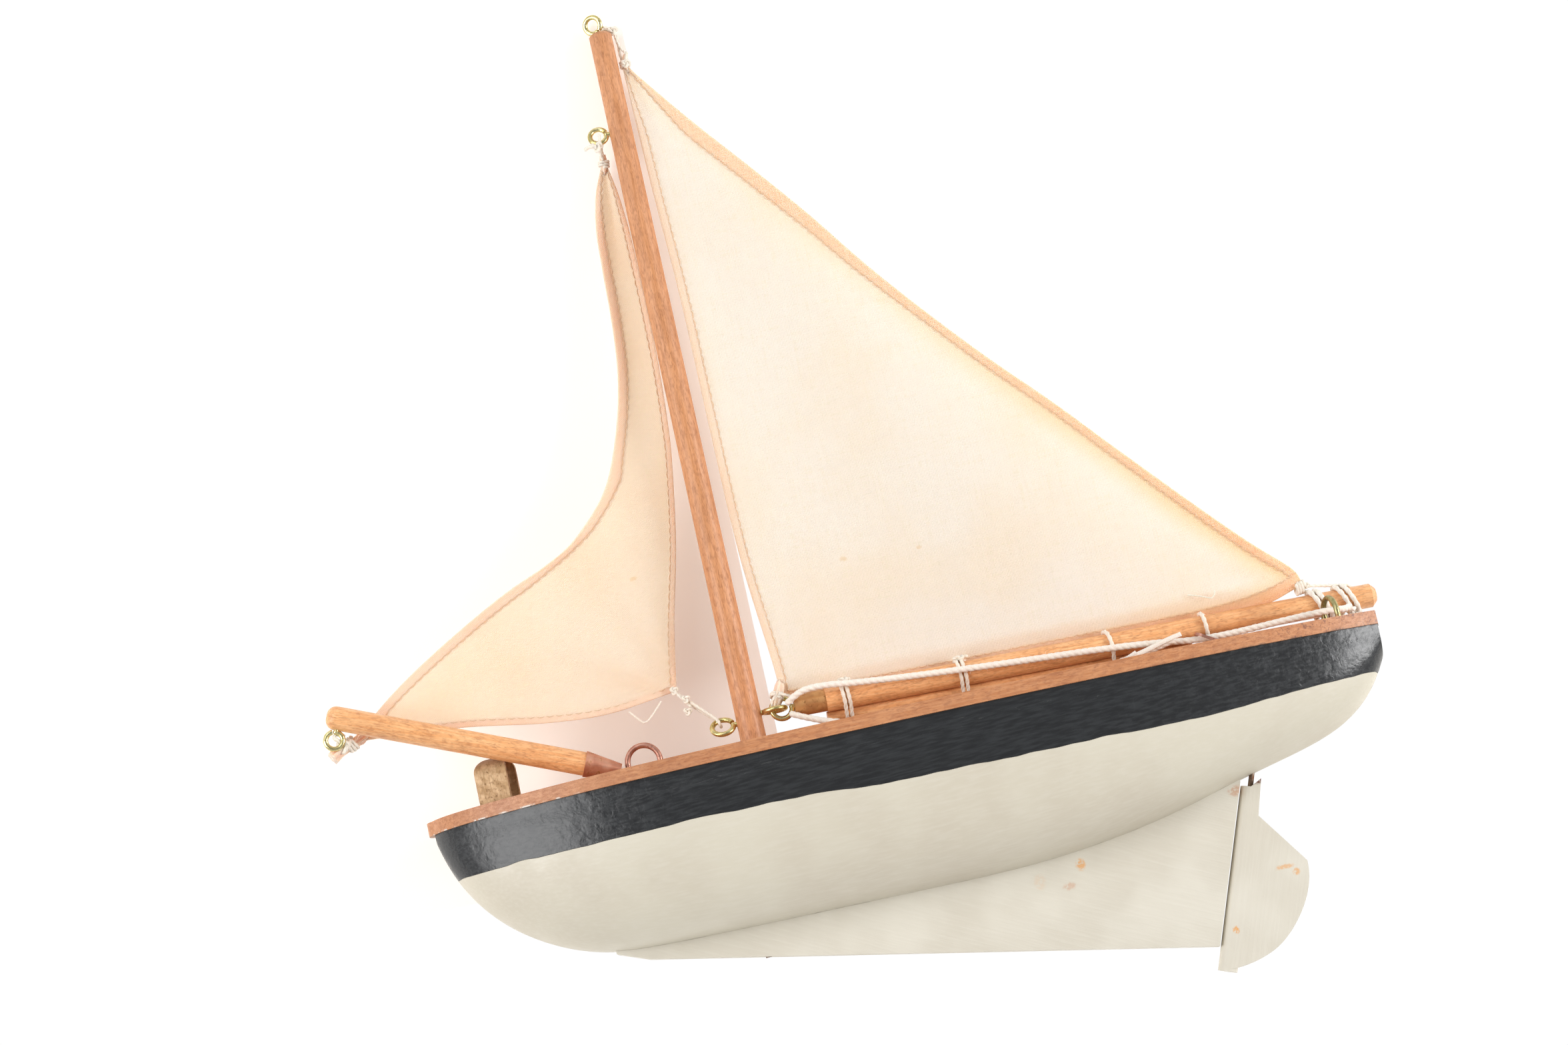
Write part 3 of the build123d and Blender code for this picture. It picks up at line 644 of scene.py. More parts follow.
class Sail:
    """
    A cloth with its own lean and creases, and with hems along its luff, leech, foot and head. The leech's hem gets
    wider towards the head.
    """

    def __init__(self, luff, leech, foot, hems, lean, rows, columns):
        self.luff, self.leech, self.foot = [
            rounded([deck(x, 0, z) for x, z in side]) for side in (luff, leech, foot)]
        self.lean = lean
        luff_hem, leech_hem, foot_hem, head_hem, wider = hems
        self.rows = stations(0.17, foot_hem, head_hem, rows)
        self.grid = []
        self.hem, self.along, self.inside = [], [], []
        for i, s in enumerate(self.rows):
            left, right = share_of(self.luff, s), share_of(self.leech, s)
            reach = right - left
            width = max(reach.length, 1e-5)
            ahead = reach.normalized()
            cut = [max(abs(ahead.cross(self.tangent(side, s)).y), 0.3) for side in (self.luff, self.leech)]
            broad = leech_hem + wider * smooth((s - 0.5) / 0.35)
            shares = stations(width, luff_hem / cut[0], broad / cut[1], columns)
            row = []
            for j, t in enumerate(shares):
                row.append(self.place(s, t))
                from_foot = min(i, len(self.rows) - 1 - i)
                turned_over = [colour for edge, colour in (
                    (len(shares) - 1 - j, LEECH_TAN), (from_foot, FOOT_TAN), (j, LUFF_TAN)) if edge < HEM_LINES]
                self.hem.append(max(turned_over, default=0.0))
                self.along.append(t * width if from_foot < HEM_LINES and i < 10 else s * len(self.leech) * 0.0002)
                self.inside.append(min(t * width * cut[0] + 0.003, (1 - t) * width * cut[1], s * 0.17 + 0.001))
            self.grid.append(row)

    def tangent(self, side, s):
        return (share_of(side, min(s + 0.01, 1)) - share_of(side, max(s - 0.01, 0))).normalized()

    def place(self, s, t):
        """A point of the surface that the three sides span, s up from the foot and t aft from the luff."""
        luff, leech = share_of(self.luff, s), share_of(self.leech, s)
        tack, clew = self.luff[0], self.leech[0]
        foot = share_of(self.foot, t)
        flat = luff.lerp(leech, t) + (foot - tack.lerp(clew, t)) * (1 - s)
        return Vector((flat.x, self.lean(flat.x / MM, (flat.z - DECK_TOP) / MM, s, t) * MM, flat.z))

    def cloth(self, name, material, thin, thick):
        """The cloth as one closed skin, thick in the hems."""
        rows, columns = len(self.grid), len(self.grid[0])
        build = Build()
        for face in (-1, 1):
            for i in range(rows):
                for j in range(columns):
                    rim = min(i, j, rows - 1 - i, columns - 1 - j)
                    half = (thick if self.hem[i * columns + j] else thin) / 2 * (0.5 if rim == 0 else 1.0)
                    build.points.append(self.grid[i][j] + Vector((0, face * half, 0)))
        size = rows * columns
        for i in range(rows - 1):
            for j in range(columns - 1):
                a = i * columns + j
                quad = (a, a + 1, a + columns + 1, a + columns)
                build.faces.append(quad)
                build.faces.append(tuple(size + k for k in (a, a + columns, a + columns + 1, a + 1)))
        loop = [j for j in range(columns)] + [i * columns + columns - 1 for i in range(1, rows)]
        loop += [(rows - 1) * columns + j for j in range(columns - 2, -1, -1)]
        loop += [i * columns for i in range(rows - 2, 0, -1)]
        for a, b in zip(loop, loop[1:] + loop[:1]):
            build.faces.append((b, a, a + size, b + size))
        made = build.piece(name, material)
        for title, values in (("hem", self.hem), ("hem_along", self.along), ("hem_inside", self.inside)):
            layer = made.data.attributes.new(title, "FLOAT", "POINT")
            layer.data.foreach_set("value", values * 2)
        return made

    def seam(self, side):
        """The line along the inner side of a hem."""
        at = HEM_LINES - 1
        if side == "luff":
            return [row[at] for row in self.grid[at:-at]]
        if side == "leech":
            return [row[-1 - at] for row in self.grid[at:-at]]
        return self.grid[at][at:-at]

    def stitches(self, name, material, sides, thick):
        """Sewing thread that dives in and out of the cloth along the hems, on both faces."""
        build = Build()
        steps = 10
        radius = 0.00012
        side_sign = {"luff": 1, "leech": -1, "foot": 1}
        for side in sides:
            line = evenly(self.seam(side), STITCH / steps)
            for face in (-1, 1):
                rings = []
                for i, place in enumerate(line):
                    ahead = (line[min(i + 1, len(line) - 1)] - line[max(i - 1, 0)]).normalized()
                    scallop = abs(sin(pi * i / steps))
                    lift = (thick * 0.5 - 0.00016 + 0.00022 * scallop) * face
                    sway = 0.00034 * scallop * side_sign[side]
                    middle = place + Vector((0, lift, 0)) + ahead.cross(PORT) * sway
                    across = ahead.cross(PORT).normalized()
                    rings.append([middle + (across * cos(a) + PORT * sin(a)) * radius
                                  for a in (0, 1.257, 2.513, 3.770, 5.027)])
                build.ring_tube(rings)
        return build.piece(name, material)


def smooth(share):
    share = min(max(share, 0.0), 1.0)
    return share * share * (3 - 2 * share)


def pull(x, z, corner, folds, reach, phase=0.0):
    """Creases that fan out from a corner and die away, 1 at most."""
    away = hypot(x - corner[0], z - corner[1])
    angle = atan2(z - corner[1], x - corner[0])
    return sin(angle * folds + phase) * exp(-away / reach) * smooth(away / 16)


def main_lean(x, z, s, t):
    base = 0.8 + 0.0715 * (x - 8.3) + 0.0015 * (z - 16.2) + 0.45
    belly = 1.3 * sin(pi * min(s * 1.1, 1)) * sin(pi * t)
    creases = 0.5 * pull(x, z, (148, 13), 14, 40) + 0.5 * pull(x, z, (8, 15), 12, 30)
    creases += 0.35 * pull(x, z, (5, 190), 16, 30)
    ripple = 0.35 * noise.noise(Vector((x / 26, z / 26, 3.1)))
    return base + belly + creases + ripple + behind_boom(x, z, base)


def behind_boom(x, z, base):
    """How far the foot has to go to starboard, to hang behind the boom."""
    boom = GOOSENECK + BOOM.axis * (x * MM - GOOSENECK.x)
    top = (boom.z - DECK_TOP) / MM + BOOM_RADIUS
    low = smooth((top + 4.5 - z) / 4.5)
    return max(boom.y / MM + BOOM_RADIUS + 0.4 - base, 0.0) * low * smooth((150 - x) / 14)


def jib_lean(x, z, s, t):
    base = -4 + 0.100 * (x + 97.6) - 0.012 * (z - 25) + 0.45
    belly = 1.6 * sin(pi * s) * sin(pi * t)
    creases = 1.1 * pull(x, z, (-16, 20), 9, 45, 0.8) + 0.9 * pull(x, z, (-104, 25), 11, 40)
    creases += 0.8 * pull(x, z, (-6, 165), 18, 30)
    ripple = 0.5 * noise.noise(Vector((x / 20, z / 20, 7.7)))
    return base + belly + creases + ripple


def main_sail(cloth, sewing):
    hems = (0.0020, 0.0017, 0.0026, 0.0012, 0.0016)
    sail = Sail(
        [(8.4, 12.0), (9.2, 19.0), (6.6, 51.4), (6.1, 85.6), (5.9, 122.4), (4.8, 153.6), (4.0, 187.8)],
        [(149.6, 13.2), (147.4, 18.2), (138.4, 26.9), (124.0, 42.7), (110.2, 58.4), (96.5, 74.2), (81.7, 90.3),
         (68.2, 106.1), (55.8, 121.7), (44.7, 137.1), (32.5, 152.8), (19.7, 168.7), (7.9, 184.4), (5.6, 187.8)],
        [(8.4, 12.0), (20, 11.0), (52.5, 10.4), (94.2, 9.7), (121.4, 9.3), (138.0, 10.2), (149.6, 13.2)],
        hems, main_lean, 110, 74)
    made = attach(sail.cloth("mainsail", cloth, 0.0003, 0.00075), "boom")
    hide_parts("main_sail")
    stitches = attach(sail.stitches("mainsail_stitching", sewing, ("luff", "leech", "foot"), 0.00075), "boom")
    return made


def jib(cloth, sewing):
    hems = (0.0022, 0.0014, 0.0022, 0.0010, 0.0)
    sail = Sail(
        [(-101.0, 24.6), (-90.5, 34.1), (-75.9, 43.7), (-56.8, 54.2), (-43.0, 60.4), (-34.6, 65.5), (-24.8, 76.1),
         (-18.9, 89.8), (-15.1, 104.3), (-13.5, 118.2), (-12.8, 135.7), (-12.2, 146.0), (-10.4, 155.5), (-7.4, 162.8)],
        [(-17.0, 20.6), (-14.1, 37.4), (-9.3, 57.6), (-5.8, 78.3), (-4.4, 91.0), (-3.4, 112.0), (-3.4, 140.0),
         (-4.2, 154.0), (-5.6, 162.8)],
        [(-101.0, 24.6), (-73.8, 22.6), (-51.6, 19.2), (-35.0, 18.2), (-17.0, 20.6)],
        hems, jib_lean, 110, 56)
    made = sail.cloth("jib", cloth, 0.0003, 0.0007)
    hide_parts("jib_sail")
    stitches = sail.stitches("jib_stitching", sewing, ("luff", "leech", "foot"), 0.0007)
    for soft in (made, stitches):
        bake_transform(soft, "hull", "bowsprit", start=deck(-22, 4, 25), end=deck(-98, -4, 25))
    return made


# ---- cords ----
CORD = 0.0018
MAIN_SHEET_ROUTE = [
    (10.3, -2.6, 10.0), (13.4, -3.7, 12.4), (19.6, -3.8, 12.9), (29.0, -3.2, 11.6), (46.0, -1.9, 10.0),
    (71.0, 0.7, 8.3), (93.0, 2.4, 7.0), (107.5, 3.9, 5.7), (116.5, 4.0, 4.2), (126.0, 3.6, 3.7),
    (139.0, 2.9, 3.9), (149.0, 1.2, 3.9), (154.6, 1.6, 3.8), (158.2, 5.2, 3.7), (159.6, 8.6, 4.6),
]
SHEET_TAIL_ROUTE = [
    (10.6, -2.2, 7.6), (13.6, -2.9, 6.0), (19.0, -3.1, 3.6), (26.5, -3.4, 1.5), (37.0, -3.2, 1.2),
    (54.0, -2.2, 1.25), (72.0, -0.4, 1.2), (87.0, 1.0, 1.4), (98.0, 1.6, 2.6), (106.0, 1.2, 3.6),
    (112.0, 0.6, 5.0),
]


def main_sheet(material):
    line = evenly(nurbs_line(route(MAIN_SHEET_ROUTE)), CORD * 0.22)
    build = Build()
    add_rope(build, line, CORD, 3, 3.0, fray=110, seed=4)
    made = build.piece("main_sheet_cord", material, "main_sheet")
    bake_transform(made, "hull", "boom", start=deck(153, 1, 4), end=deck(118, 4, 4))
    hold_far_end(made)
    return made


def hold_far_end(cord):
    """Past the stern staple the cord goes back to the boom, so its last stretch follows the boom again."""
    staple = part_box("stern_staple")[1].x
    weights = cord.data.attributes["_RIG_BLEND"].data
    for vertex, weight in zip(cord.data.vertices, weights):
        weight.value = max(weight.value, smooth((vertex.co.x - staple) / 0.004))


def sheet_tail(material):
    line = evenly(nurbs_line(route(SHEET_TAIL_ROUTE)), CORD * 0.22)
    build = Build()
    add_rope(build, line, CORD * 0.94, 3, 3.0, fray=60, seed=9)
    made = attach(build.piece("sheet_tail_cord", material, "sheet_tail"), "hull")
    return made


def flat_strip(build, points, width, thickness, normal):
    """A narrow stiff ribbon along a line."""
    line = evenly(nurbs_line(points), 0.0005)
    last = len(line) - 1
    rings = []
    for i, place in enumerate(line):
        ahead = (line[min(i + 1, last)] - line[max(i - 1, 0)]).normalized()
        across = ahead.cross(normal).normalized() * width / 2
        out = across.cross(ahead).normalized() * thickness / 2
        rings.append([place + across * 0.9 + out, place + across, place + across * 0.9 - out,
                      place - across * 0.9 - out, place - across, place - across * 0.9 + out])
    build.ring_tube(rings)


def cord_ends(material):
    """The cord's glued flat ends, which stick out beside the slider."""
    build = Build()
    flat_strip(build, route([(97.5, 0.2, 2.4), (104.0, -0.2, 3.6), (110.0, -0.3, 5.3), (114.2, -0.2, 6.0)]),
               0.0013, 0.0003, Vector((0.2, -1, 0.3)))
    flat_strip(build, route([(96.8, 0.4, 2.0), (99.6, 0.1, 3.0), (101.8, 0.0, 3.9)]), 0.0011, 0.0003,
               Vector((-0.2, -1, 0.2)))
    made = build.piece("cord_ends", material)
    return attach(made, "hull")


# ---- thread ties ----
def round_spars(along, angle, gap, both=True):
    """Where a taut thread lies round the boom and the lower spar, angle in degrees from up towards port."""
    turn = radians(angle)
    across, up = -sin(turn), cos(turn)
    spars = [(0.0, 0.0, BOOM_RADIUS)]
    if both:
        spars.append((LOWER_ACROSS, LOWER_UP, LOWER_RADIUS))
    y, z, radius = max(spars, key=lambda c: c[0] * across + c[1] * up + c[2])
    return BOOM.at(along, y + across * (radius + gap), z + up * (radius + gap))


def foot_tie(name, thread, along, turns, diameter, both=True, slant=0.0, seed=1, knot=True):
    """Thread wound round the spars. Its knot, where one shows, is on top and has two short ends."""
    draw = random.Random(seed)
    gap = diameter / 2 / MM
    per_turn = 30
    line = []
    for k in range(int(turns * per_turn) + 1):
        share = k / per_turn
        angle = -20 + 360 * share
        ease = gap * (1 + 0.12 * sin(2.2 * share * 2 * pi + seed))
        shift = slant * sin(radians(angle))
        line.append(round_spars(along + 1.35 * share + shift, angle, ease, both))
    build = Build()
    add_rope(build, evenly(line, diameter * 0.28), diameter, 2, 3.2, fray=10 * turns, seed=seed)
    top = BOOM.at(along + 0.7 * turns, -1.2, BOOM_RADIUS + gap * 1.6)
    if knot:
        add_knot(build, top, diameter * 1.9, diameter, seed, BOOM.up)
    for way in (-1, 1) if knot else ():
        far = draw.uniform(1.3, 2.3)
        points = [top, top + BOOM.axis * way * 0.8 * MM + BOOM.up * 0.5 * MM,
                  top + (BOOM.axis * way * far - BOOM.across * draw.uniform(0.2, 0.9)) * MM]
        add_thread(build, points, diameter * 0.8, seed + way + 3)
    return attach(build.piece(name, thread, "foot_ties"), "boom")


def foot_ties(thread):
    foot_tie("foot_tie_front", thread, 17.6, 2, 0.00112, seed=3)
    foot_tie("foot_tie_middle", thread, 48.6, 2, 0.00108, seed=5)
    foot_tie("foot_tie_aft", thread, 88.6, 1, 0.00120, slant=0.5, seed=8, knot=False)
    foot_tie("foot_tie_last", thread, 114.4, 1, 0.00120, both=False, seed=11, knot=False)


def boom_end_lashing(thread):
    """The cord's turns round the boom's end, fore and aft of each other."""
    build = Build()
    for start, pitch, turns, diameter in ((144.3, 1.7, 2.35, 0.00150), (151.2, 1.95, 2.35, 0.00140)):
        line = []
        for k in range(int(turns * 30) + 1):
            share = k / 30
            angle = -150 + 360 * share
            slope = -1.2 * cos(radians(angle))
            line.append(round_spars(start + pitch * share + slope, angle, diameter / 2 / MM, False))
        add_rope(build, evenly(line, diameter * 0.28), diameter, 2, 3.2, fray=20, seed=int(start))
    add_knot(build, BOOM.at(154.6, -1.4, -3.9), 0.0022, 0.0011, 5, BOOM.across)
    add_thread(build, route([(158.8, 7.4, 4.2), (160.4, 8.4, 3.4), (161.0, 10.2, 4.0)]), 0.0013, 2)
    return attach(build.piece("boom_end_turns", thread, "boom_end_lashing"), "boom")


def gathered(name, cloth, body, points, radii, lobes, seed):
    """A sail's corner drawn together like a rope."""
    build = Build()
    add_bundle(build, route(points), radii, lobes, seed)
    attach(build.piece(name, cloth), body)


def tied(name, thread, node, body, threads, knots=(), wraps=()):
    """
    Thread work that stands for a node. A thread has its route, diameter, seed and loose fibres, a knot its place,
    size, diameter and seed, and a winding its two ends, radius, turns, diameter, seed and lean.
    """
    build = Build()
    for start, end, *rest in wraps:
        add_wraps(build, deck(*start), deck(*end), *rest)
    for place, *rest in knots:
        add_knot(build, deck(*place), *rest)
    for points, *rest in threads:
        add_thread(build, route(points), *rest)
    made = build.piece(name, thread, node)
    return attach(made, body) if body else made


def main_ties(thread, cloth):
    tied("clew_tie", thread, "main_clew_tie", "boom", [
        ([(149.2, 11.1, 12.6), (152.6, 12.2, 12.3), (156.6, 12.7, 11.4), (159.6, 13.0, 11.1), (161.6, 13.6, 10.5),
          (163.0, 14.8, 9.0)], 0.00085, 4, 14),
        ([(149.0, 11.9, 11.6), (150.2, 11.6, 11.2), (151.6, 11.0, 10.6), (153.4, 10.2, 10.2)], 0.0008, 6),
    ], [((150.2, 11.1, 12.8), 0.0014, 0.0008, 2)],
        [((147.4, 11.9, 12.4), (149.6, 11.9, 12.8), 0.0014, 3.2, 0.0010, 3, 0.0004)])
    gathered("tack_gather", cloth, "boom",
             [(9.8, 2.6, 17.6), (9.6, 1.7, 15.6), (8.8, 0.4, 13.2), (7.8, -0.6, 11.0), (7.4, -0.4, 9.9)],
             (0.4, 1.3, 1.5, 1.4, 1.0), 5, 2)
    tied("tack_tie", thread, "main_tack_tie", "boom", [
        ([(8.3, -1.3, 13.2), (7.0, -2.0, 12.0), (6.4, -1.8, 11.0), (7.0, -0.4, 9.8), (8.4, 0.9, 10.2)], 0.0008, 8),
        ([(8.8, -1.2, 13.4), (10.8, -1.9, 12.6), (11.8, -1.6, 12.0)], 0.0008, 12),
    ], (), [((8.6, 0.5, 13.6), (8.0, -0.1, 12.2), 0.0016, 2.6, 0.0008, 7)])
    gathered("head_gather", cloth, "boom", [(5.4, 2.4, 185.4), (4.8, 1.6, 187.4), (4.9, 1.2, 190.2), (6.0, 1.2, 191.8)],
             (0.4, 0.9, 0.8, 0.5), 4, 5)
    # The head's thread follows the mast above and the sail below.
    head = tied("head_tie", thread, "main_head_tie", None, [
        ([(4.9, 0.4, 188.8), (6.2, 0.6, 190.8), (4.2, 0.9, 193.6), (3.9, 0.8, 197.0), (3.0, 0.6, 199.2),
          (1.0, -0.2, 199.6)], 0.0008, 3, 8),
        ([(4.4, 1.4, 189.0), (3.9, 1.3, 192.0), (4.6, 1.2, 196.0), (3.2, 1.4, 198.8), (0.8, 1.6, 199.2)], 0.0008, 5),
    ], [((5.2, 0.1, 188.4), 0.0021, 0.0008, 6), ((3.6, 0.4, 198.2), 0.0022, 0.0009, 8)],
        [((4.8, 1.3, 187.7), (4.9, 1.2, 189.3), 0.0012, 2.5, 0.0008, 4)])
    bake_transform(head, "hull", "boom", start=deck(4, 1, 197.5), end=deck(4, 1, 190))


def jib_ties(thread, cloth):
    gathered("jib_head_gather", cloth, "hull", [(-6.8, 4.9, 160.8), (-6.4, 3.4, 163.0), (-6.2, 2.2, 165.6)],
             (0.5, 1.2, 0.8), 4, 3)
    tied("jib_head_thread", thread, "jib_head_tie", "hull", [
        ([(-6.3, 1.6, 164.0), (-6.8, -0.6, 166.0), (-6.4, -1.2, 168.0), (-6.2, 0.4, 169.2), (-6.2, 1.8, 167.4),
          (-6.2, 2.6, 164.6)], 0.0009, 7, 8),
        ([(-7.2, -1.2, 167.4), (-8.9, -1.5, 167.9), (-10.6, -1.3, 166.9)], 0.0011, 9, 10),
        ([(-6.6, -1.0, 167.8), (-5.6, -1.4, 169.0), (-6.0, -1.2, 170.4)], 0.0009, 10),
    ], [((-7.0, -0.8, 167.4), 0.0026, 0.0010, 3)],
        [((-6.6, 3.0, 162.4), (-6.3, 2.7, 164.2), 0.0013, 2.6, 0.0008, 5)])
    tied("jib_clew_thread", thread, "jib_clew_tie", "hull", [
        ([(-17.0, 3.6, 19.8), (-13.4, 2.4, 16.0), (-9.6, 1.0, 12.0), (-8.0, -0.3, 10.2), (-7.6, 0.0, 8.7),
          (-7.5, 2.0, 8.3), (-8.2, 3.4, 10.4), (-12.6, 3.4, 14.4), (-16.6, 3.9, 19.0)], 0.0009, 3, 12),
        ([(-18.0, 3.4, 21.8), (-17.0, 2.8, 19.2), (-15.4, 2.6, 17.4), (-14.2, 2.4, 15.4)], 0.0008, 4),
    ], [((-15.0, 1.9, 17.6), 0.0019, 0.0008, 2), ((-15.2, 2.4, 14.4), 0.0019, 0.0008, 5),
        ((-17.6, 3.0, 20.6), 0.0019, 0.0008, 6)])
    # The tack's frayed end sticks out past its binding, under the bowsprit's tip.
    gathered("jib_tack_gather", cloth, "bowsprit",
             [(-96.8, -2.6, 26.4), (-99.4, -5.4, 24.8), (-102.2, -8.0, 23.4), (-104.6, -9.4, 22.4),
              (-106.8, -10.0, 20.8)], (0.6, 1.6, 1.2, 1.6, 1.9), 6, 4)
    tied("jib_tack_thread", thread, "jib_tack_tie", "bowsprit", [
        ([(-102.4, -10.6, 23.6), (-104.4, -11.6, 24.8), (-105.4, -11.6, 26.0), (-104.2, -11.0, 26.8),
          (-102.6, -9.8, 25.8)], 0.0011, 5, 12),
        ([(-101.4, -9.4, 24.8), (-102.6, -10.9, 23.2), (-102.8, -10.8, 21.8)], 0.0011, 6),
    ], [((-103.4, -10.6, 23.2), 0.0030, 0.0011, 4)],
        [((-100.6, -7.2, 24.2), (-103.2, -8.8, 23.0), 0.0017, 3.3, 0.0010, 3, 0.0006)])


def stray_threads(thread):
    """Loose sewing ends at the foot of each sail."""
    tied("jib_loose_thread", thread, None, "hull", [
        ([(-30.2, 2.2, 17.6), (-28.4, 1.8, 15.4), (-26.9, 1.6, 13.6), (-24.8, 1.9, 14.8), (-21.4, 2.4, 18.6)],
         0.00055, 3)])
    tied("foot_loose_thread", thread, None, "boom", [
        ([(119.0, 8.2, 16.6), (121.6, 7.9, 15.9), (124.0, 7.8, 14.7), (125.7, 7.9, 14.4), (126.2, 8.0, 16.2)],
         0.0004, 5)])


# ---- dressing the CAD nodes ----
def dress(material, *nodes):
    for node in nodes:
        for entry in frame["nodes"][node].material_slots:
            entry.material = material


def soften(node, width):
    """Rounds a board's corners, as sandpaper and years of use do."""
    made = frame["nodes"][node].modifiers.new("worn_edges", "BEVEL")
    made.width = width
    made.segments = 3
    made.limit_method = "ANGLE"
    made.angle_limit = radians(50)
    made.harden_normals = True


def dress_frame():
    soften("deck", 0.0008)
    soften("keel_fin", 0.0004)
    soften("rudder", 0.0006)
    rust, amber = paint(196, 120, 58), paint(226, 160, 84)
    dress(hull_paint(), "hull")
    dress(deck_wood(), "deck")
    dress(cream_paint("keel_paint", Vector((0.9, 0, -0.45)), [
        (deck(75.2, -2.5, -46.8), (0.0016, 0.003, 0.0020), amber, 0.75),
        (deck(71.2, -2.5, -51.6), (0.0022, 0.003, 0.0012), rust, 0.35),
        (deck(64.0, -2.5, -49.0), (0.0020, 0.003, 0.0026), amber, 0.15),
        (deck(118.5, -2.5, -37.0), (0.0030, 0.003, 0.0018), rust, 0.50),
    ]), "keel_fin")
    dress(cream_paint("rudder_paint", Vector((0.35, 0, 0.94)), [
        (deck(124.0, -2.5, -35.6), (0.0042, 0.005, 0.0012), paint(110, 62, 44), 0.95),
        (deck(110.2, -2.5, -71.6), (0.0012, 0.003, 0.0012), amber, 0.90),
        (deck(126.0, -2.5, -58.6), (0.0030, 0.003, 0.0008), amber, 0.60),
        (deck(128.6, -2.5, -60.4), (0.0012, 0.003, 0.0012), amber, 0.70),
    ]), "rudder")
    dress(dowel_wood("mast_wood", UP, (222, 159, 114), (205, 140, 92), (142, 82, 46)).material, "mast")
    dress(boom_wood("boom_wood", BOOM.axis), "boom_spar", "lower_spar")
    dress(boom_wood("bowsprit_wood", sprit_heel - sprit_tip), "bowsprit_spar")
    step = dowel_wood("step_wood", AFT, (222, 196, 150), (206, 176, 128), (170, 132, 86), 0.0)
    dress(step.material, "mast_step")
    dress(strap_brass(), "gammon_strap")
    for name, colours, finish, nodes in METALS:
        dress(metal(name, colours, *finish).material, *nodes)


# Each metal's bright, usual and tarnished colour, then its roughness, mottle, shine and depth.
METALS = (
    ("eye_brass", ((232, 220, 166), (208, 192, 130), (140, 124, 76)), (0.26,),
     ("masthead_eye", "mast_fore_upper_eye", "mast_fore_lower_eye", "mast_aft_eye", "boom_eye", "bowsprit_eye")),
    ("ferrule_brass", ((214, 164, 108), (190, 138, 88), (150, 102, 60)), (0.46, 0.0012, 0.6, 0.00001),
     ("boom_ferrule",)),
    ("staple_copper", ((206, 156, 138), (176, 126, 110), (116, 82, 70)), (0.42,), ("fore_staple", "sheet_slider")),
    ("cap_copper", ((220, 168, 142), (196, 134, 108), (176, 124, 70)), (0.44, 0.0018, 0.8, 0.00008),
     ("bowsprit_ferrule",)),
    ("aged_brass", ((176, 170, 124), (130, 128, 88), (150, 96, 62)), (0.36,), ("stern_staple",)),
    ("steel", ((150, 136, 124), (120, 98, 82), (120, 70, 44)), (0.5,), ("keel_nails", "rudder_pin")),
)


def strap_brass():
    """Old brass strip, pale and rubbed on its sides, with painted shade darkening it where it bends over the top."""
    look = metal("strap_brass", ((196, 166, 130), (168, 136, 98), (126, 96, 62)), 0.55, 0.0009, 0.5, 0.00005)
    colour = look.shader.inputs["Base Color"].links[0].from_socket
    rubbed = look.noise(1.0, look.stretched(UP, 0.0060, 0.0005), detail=3.0, rough=0.7)
    colour = look.mix(look.ramp(rubbed, 0.45, 0.65, 0.0, 0.6), colour, paint(150, 122, 84))
    z = look.split()[2]
    # Painted shade: the strap is darkened towards its top, where it bends over.
    painted_top_shade = look.ramp(z, DECK_TOP + 0.0106, DECK_TOP + 0.0128)
    look.set("Base Color", look.mix(look.times(painted_top_shade, 0.75), colour, paint(132, 92, 64)))
    return look.material


# ---- stage, light and camera ----
def table():
    """
    The pale table top that the boat lies on, a plane along its side that lights it from behind. It is seen behind
    the jib, from the boat's side only. Elsewhere only the light meets it, for the boom swings through there.
    """
    look = Look("table", rough=0.55)
    look.set("Base Color", paint(248, 245, 240))
    look.set("Emission Color", paint(255, 250, 243))
    look.set("Emission Strength", 0.22)
    clear = look.node("ShaderNodeBsdfTransparent").outputs[0]
    back = look.node("ShaderNodeNewGeometry").outputs["Backfacing"]
    both = look.node("ShaderNodeMixShader")
    for socket, value in zip(both.inputs, (back, look.shader.outputs[0], clear)):
        look.feed(socket, value)
    look.feed(look.tree.nodes["Material Output"].inputs["Surface"], both.outputs[0])
    slope = Vector((0, -0.1345, 1)).normalized()
    foot = deck(6, 30, 0)
    low, wide = -0.02, 2.5
    for name, quads in (("table_seen", [(-wide, low, 0, wide)]),
                        ("table_unseen", [(0, -wide, wide, wide), (-wide, -wide, 0, low)])):
        corners, faces = [], []
        for left, bottom, right, top in quads:
            faces.append(tuple(len(corners) + k for k in range(4)))
            corners += [foot + Vector((along, 0, 0)) + slope * up
                        for along, up in ((left, bottom), (right, bottom), (right, top), (left, top))]
        mesh = bpy.data.meshes.new(name)
        mesh.from_pydata(corners, [], faces)
        mesh.materials.append(look.material)
        made = bpy.data.objects.new(name, mesh)
        made.visible_camera = name == "table_seen"
        bpy.context.scene.collection.objects.link(made)


def lamp(name, place, aim, size, power, colour):
    light = bpy.data.lights.new(name, "AREA")
    light.shape = "RECTANGLE"
    light.size, light.size_y = size
    light.energy = power
    light.color = colour
    made = bpy.data.objects.new(name, light)
    made.location = place
    made.rotation_mode = "QUATERNION"
    made.rotation_quaternion = (aim - place).to_track_quat("-Z", "Y")
    bpy.context.scene.collection.objects.link(made)


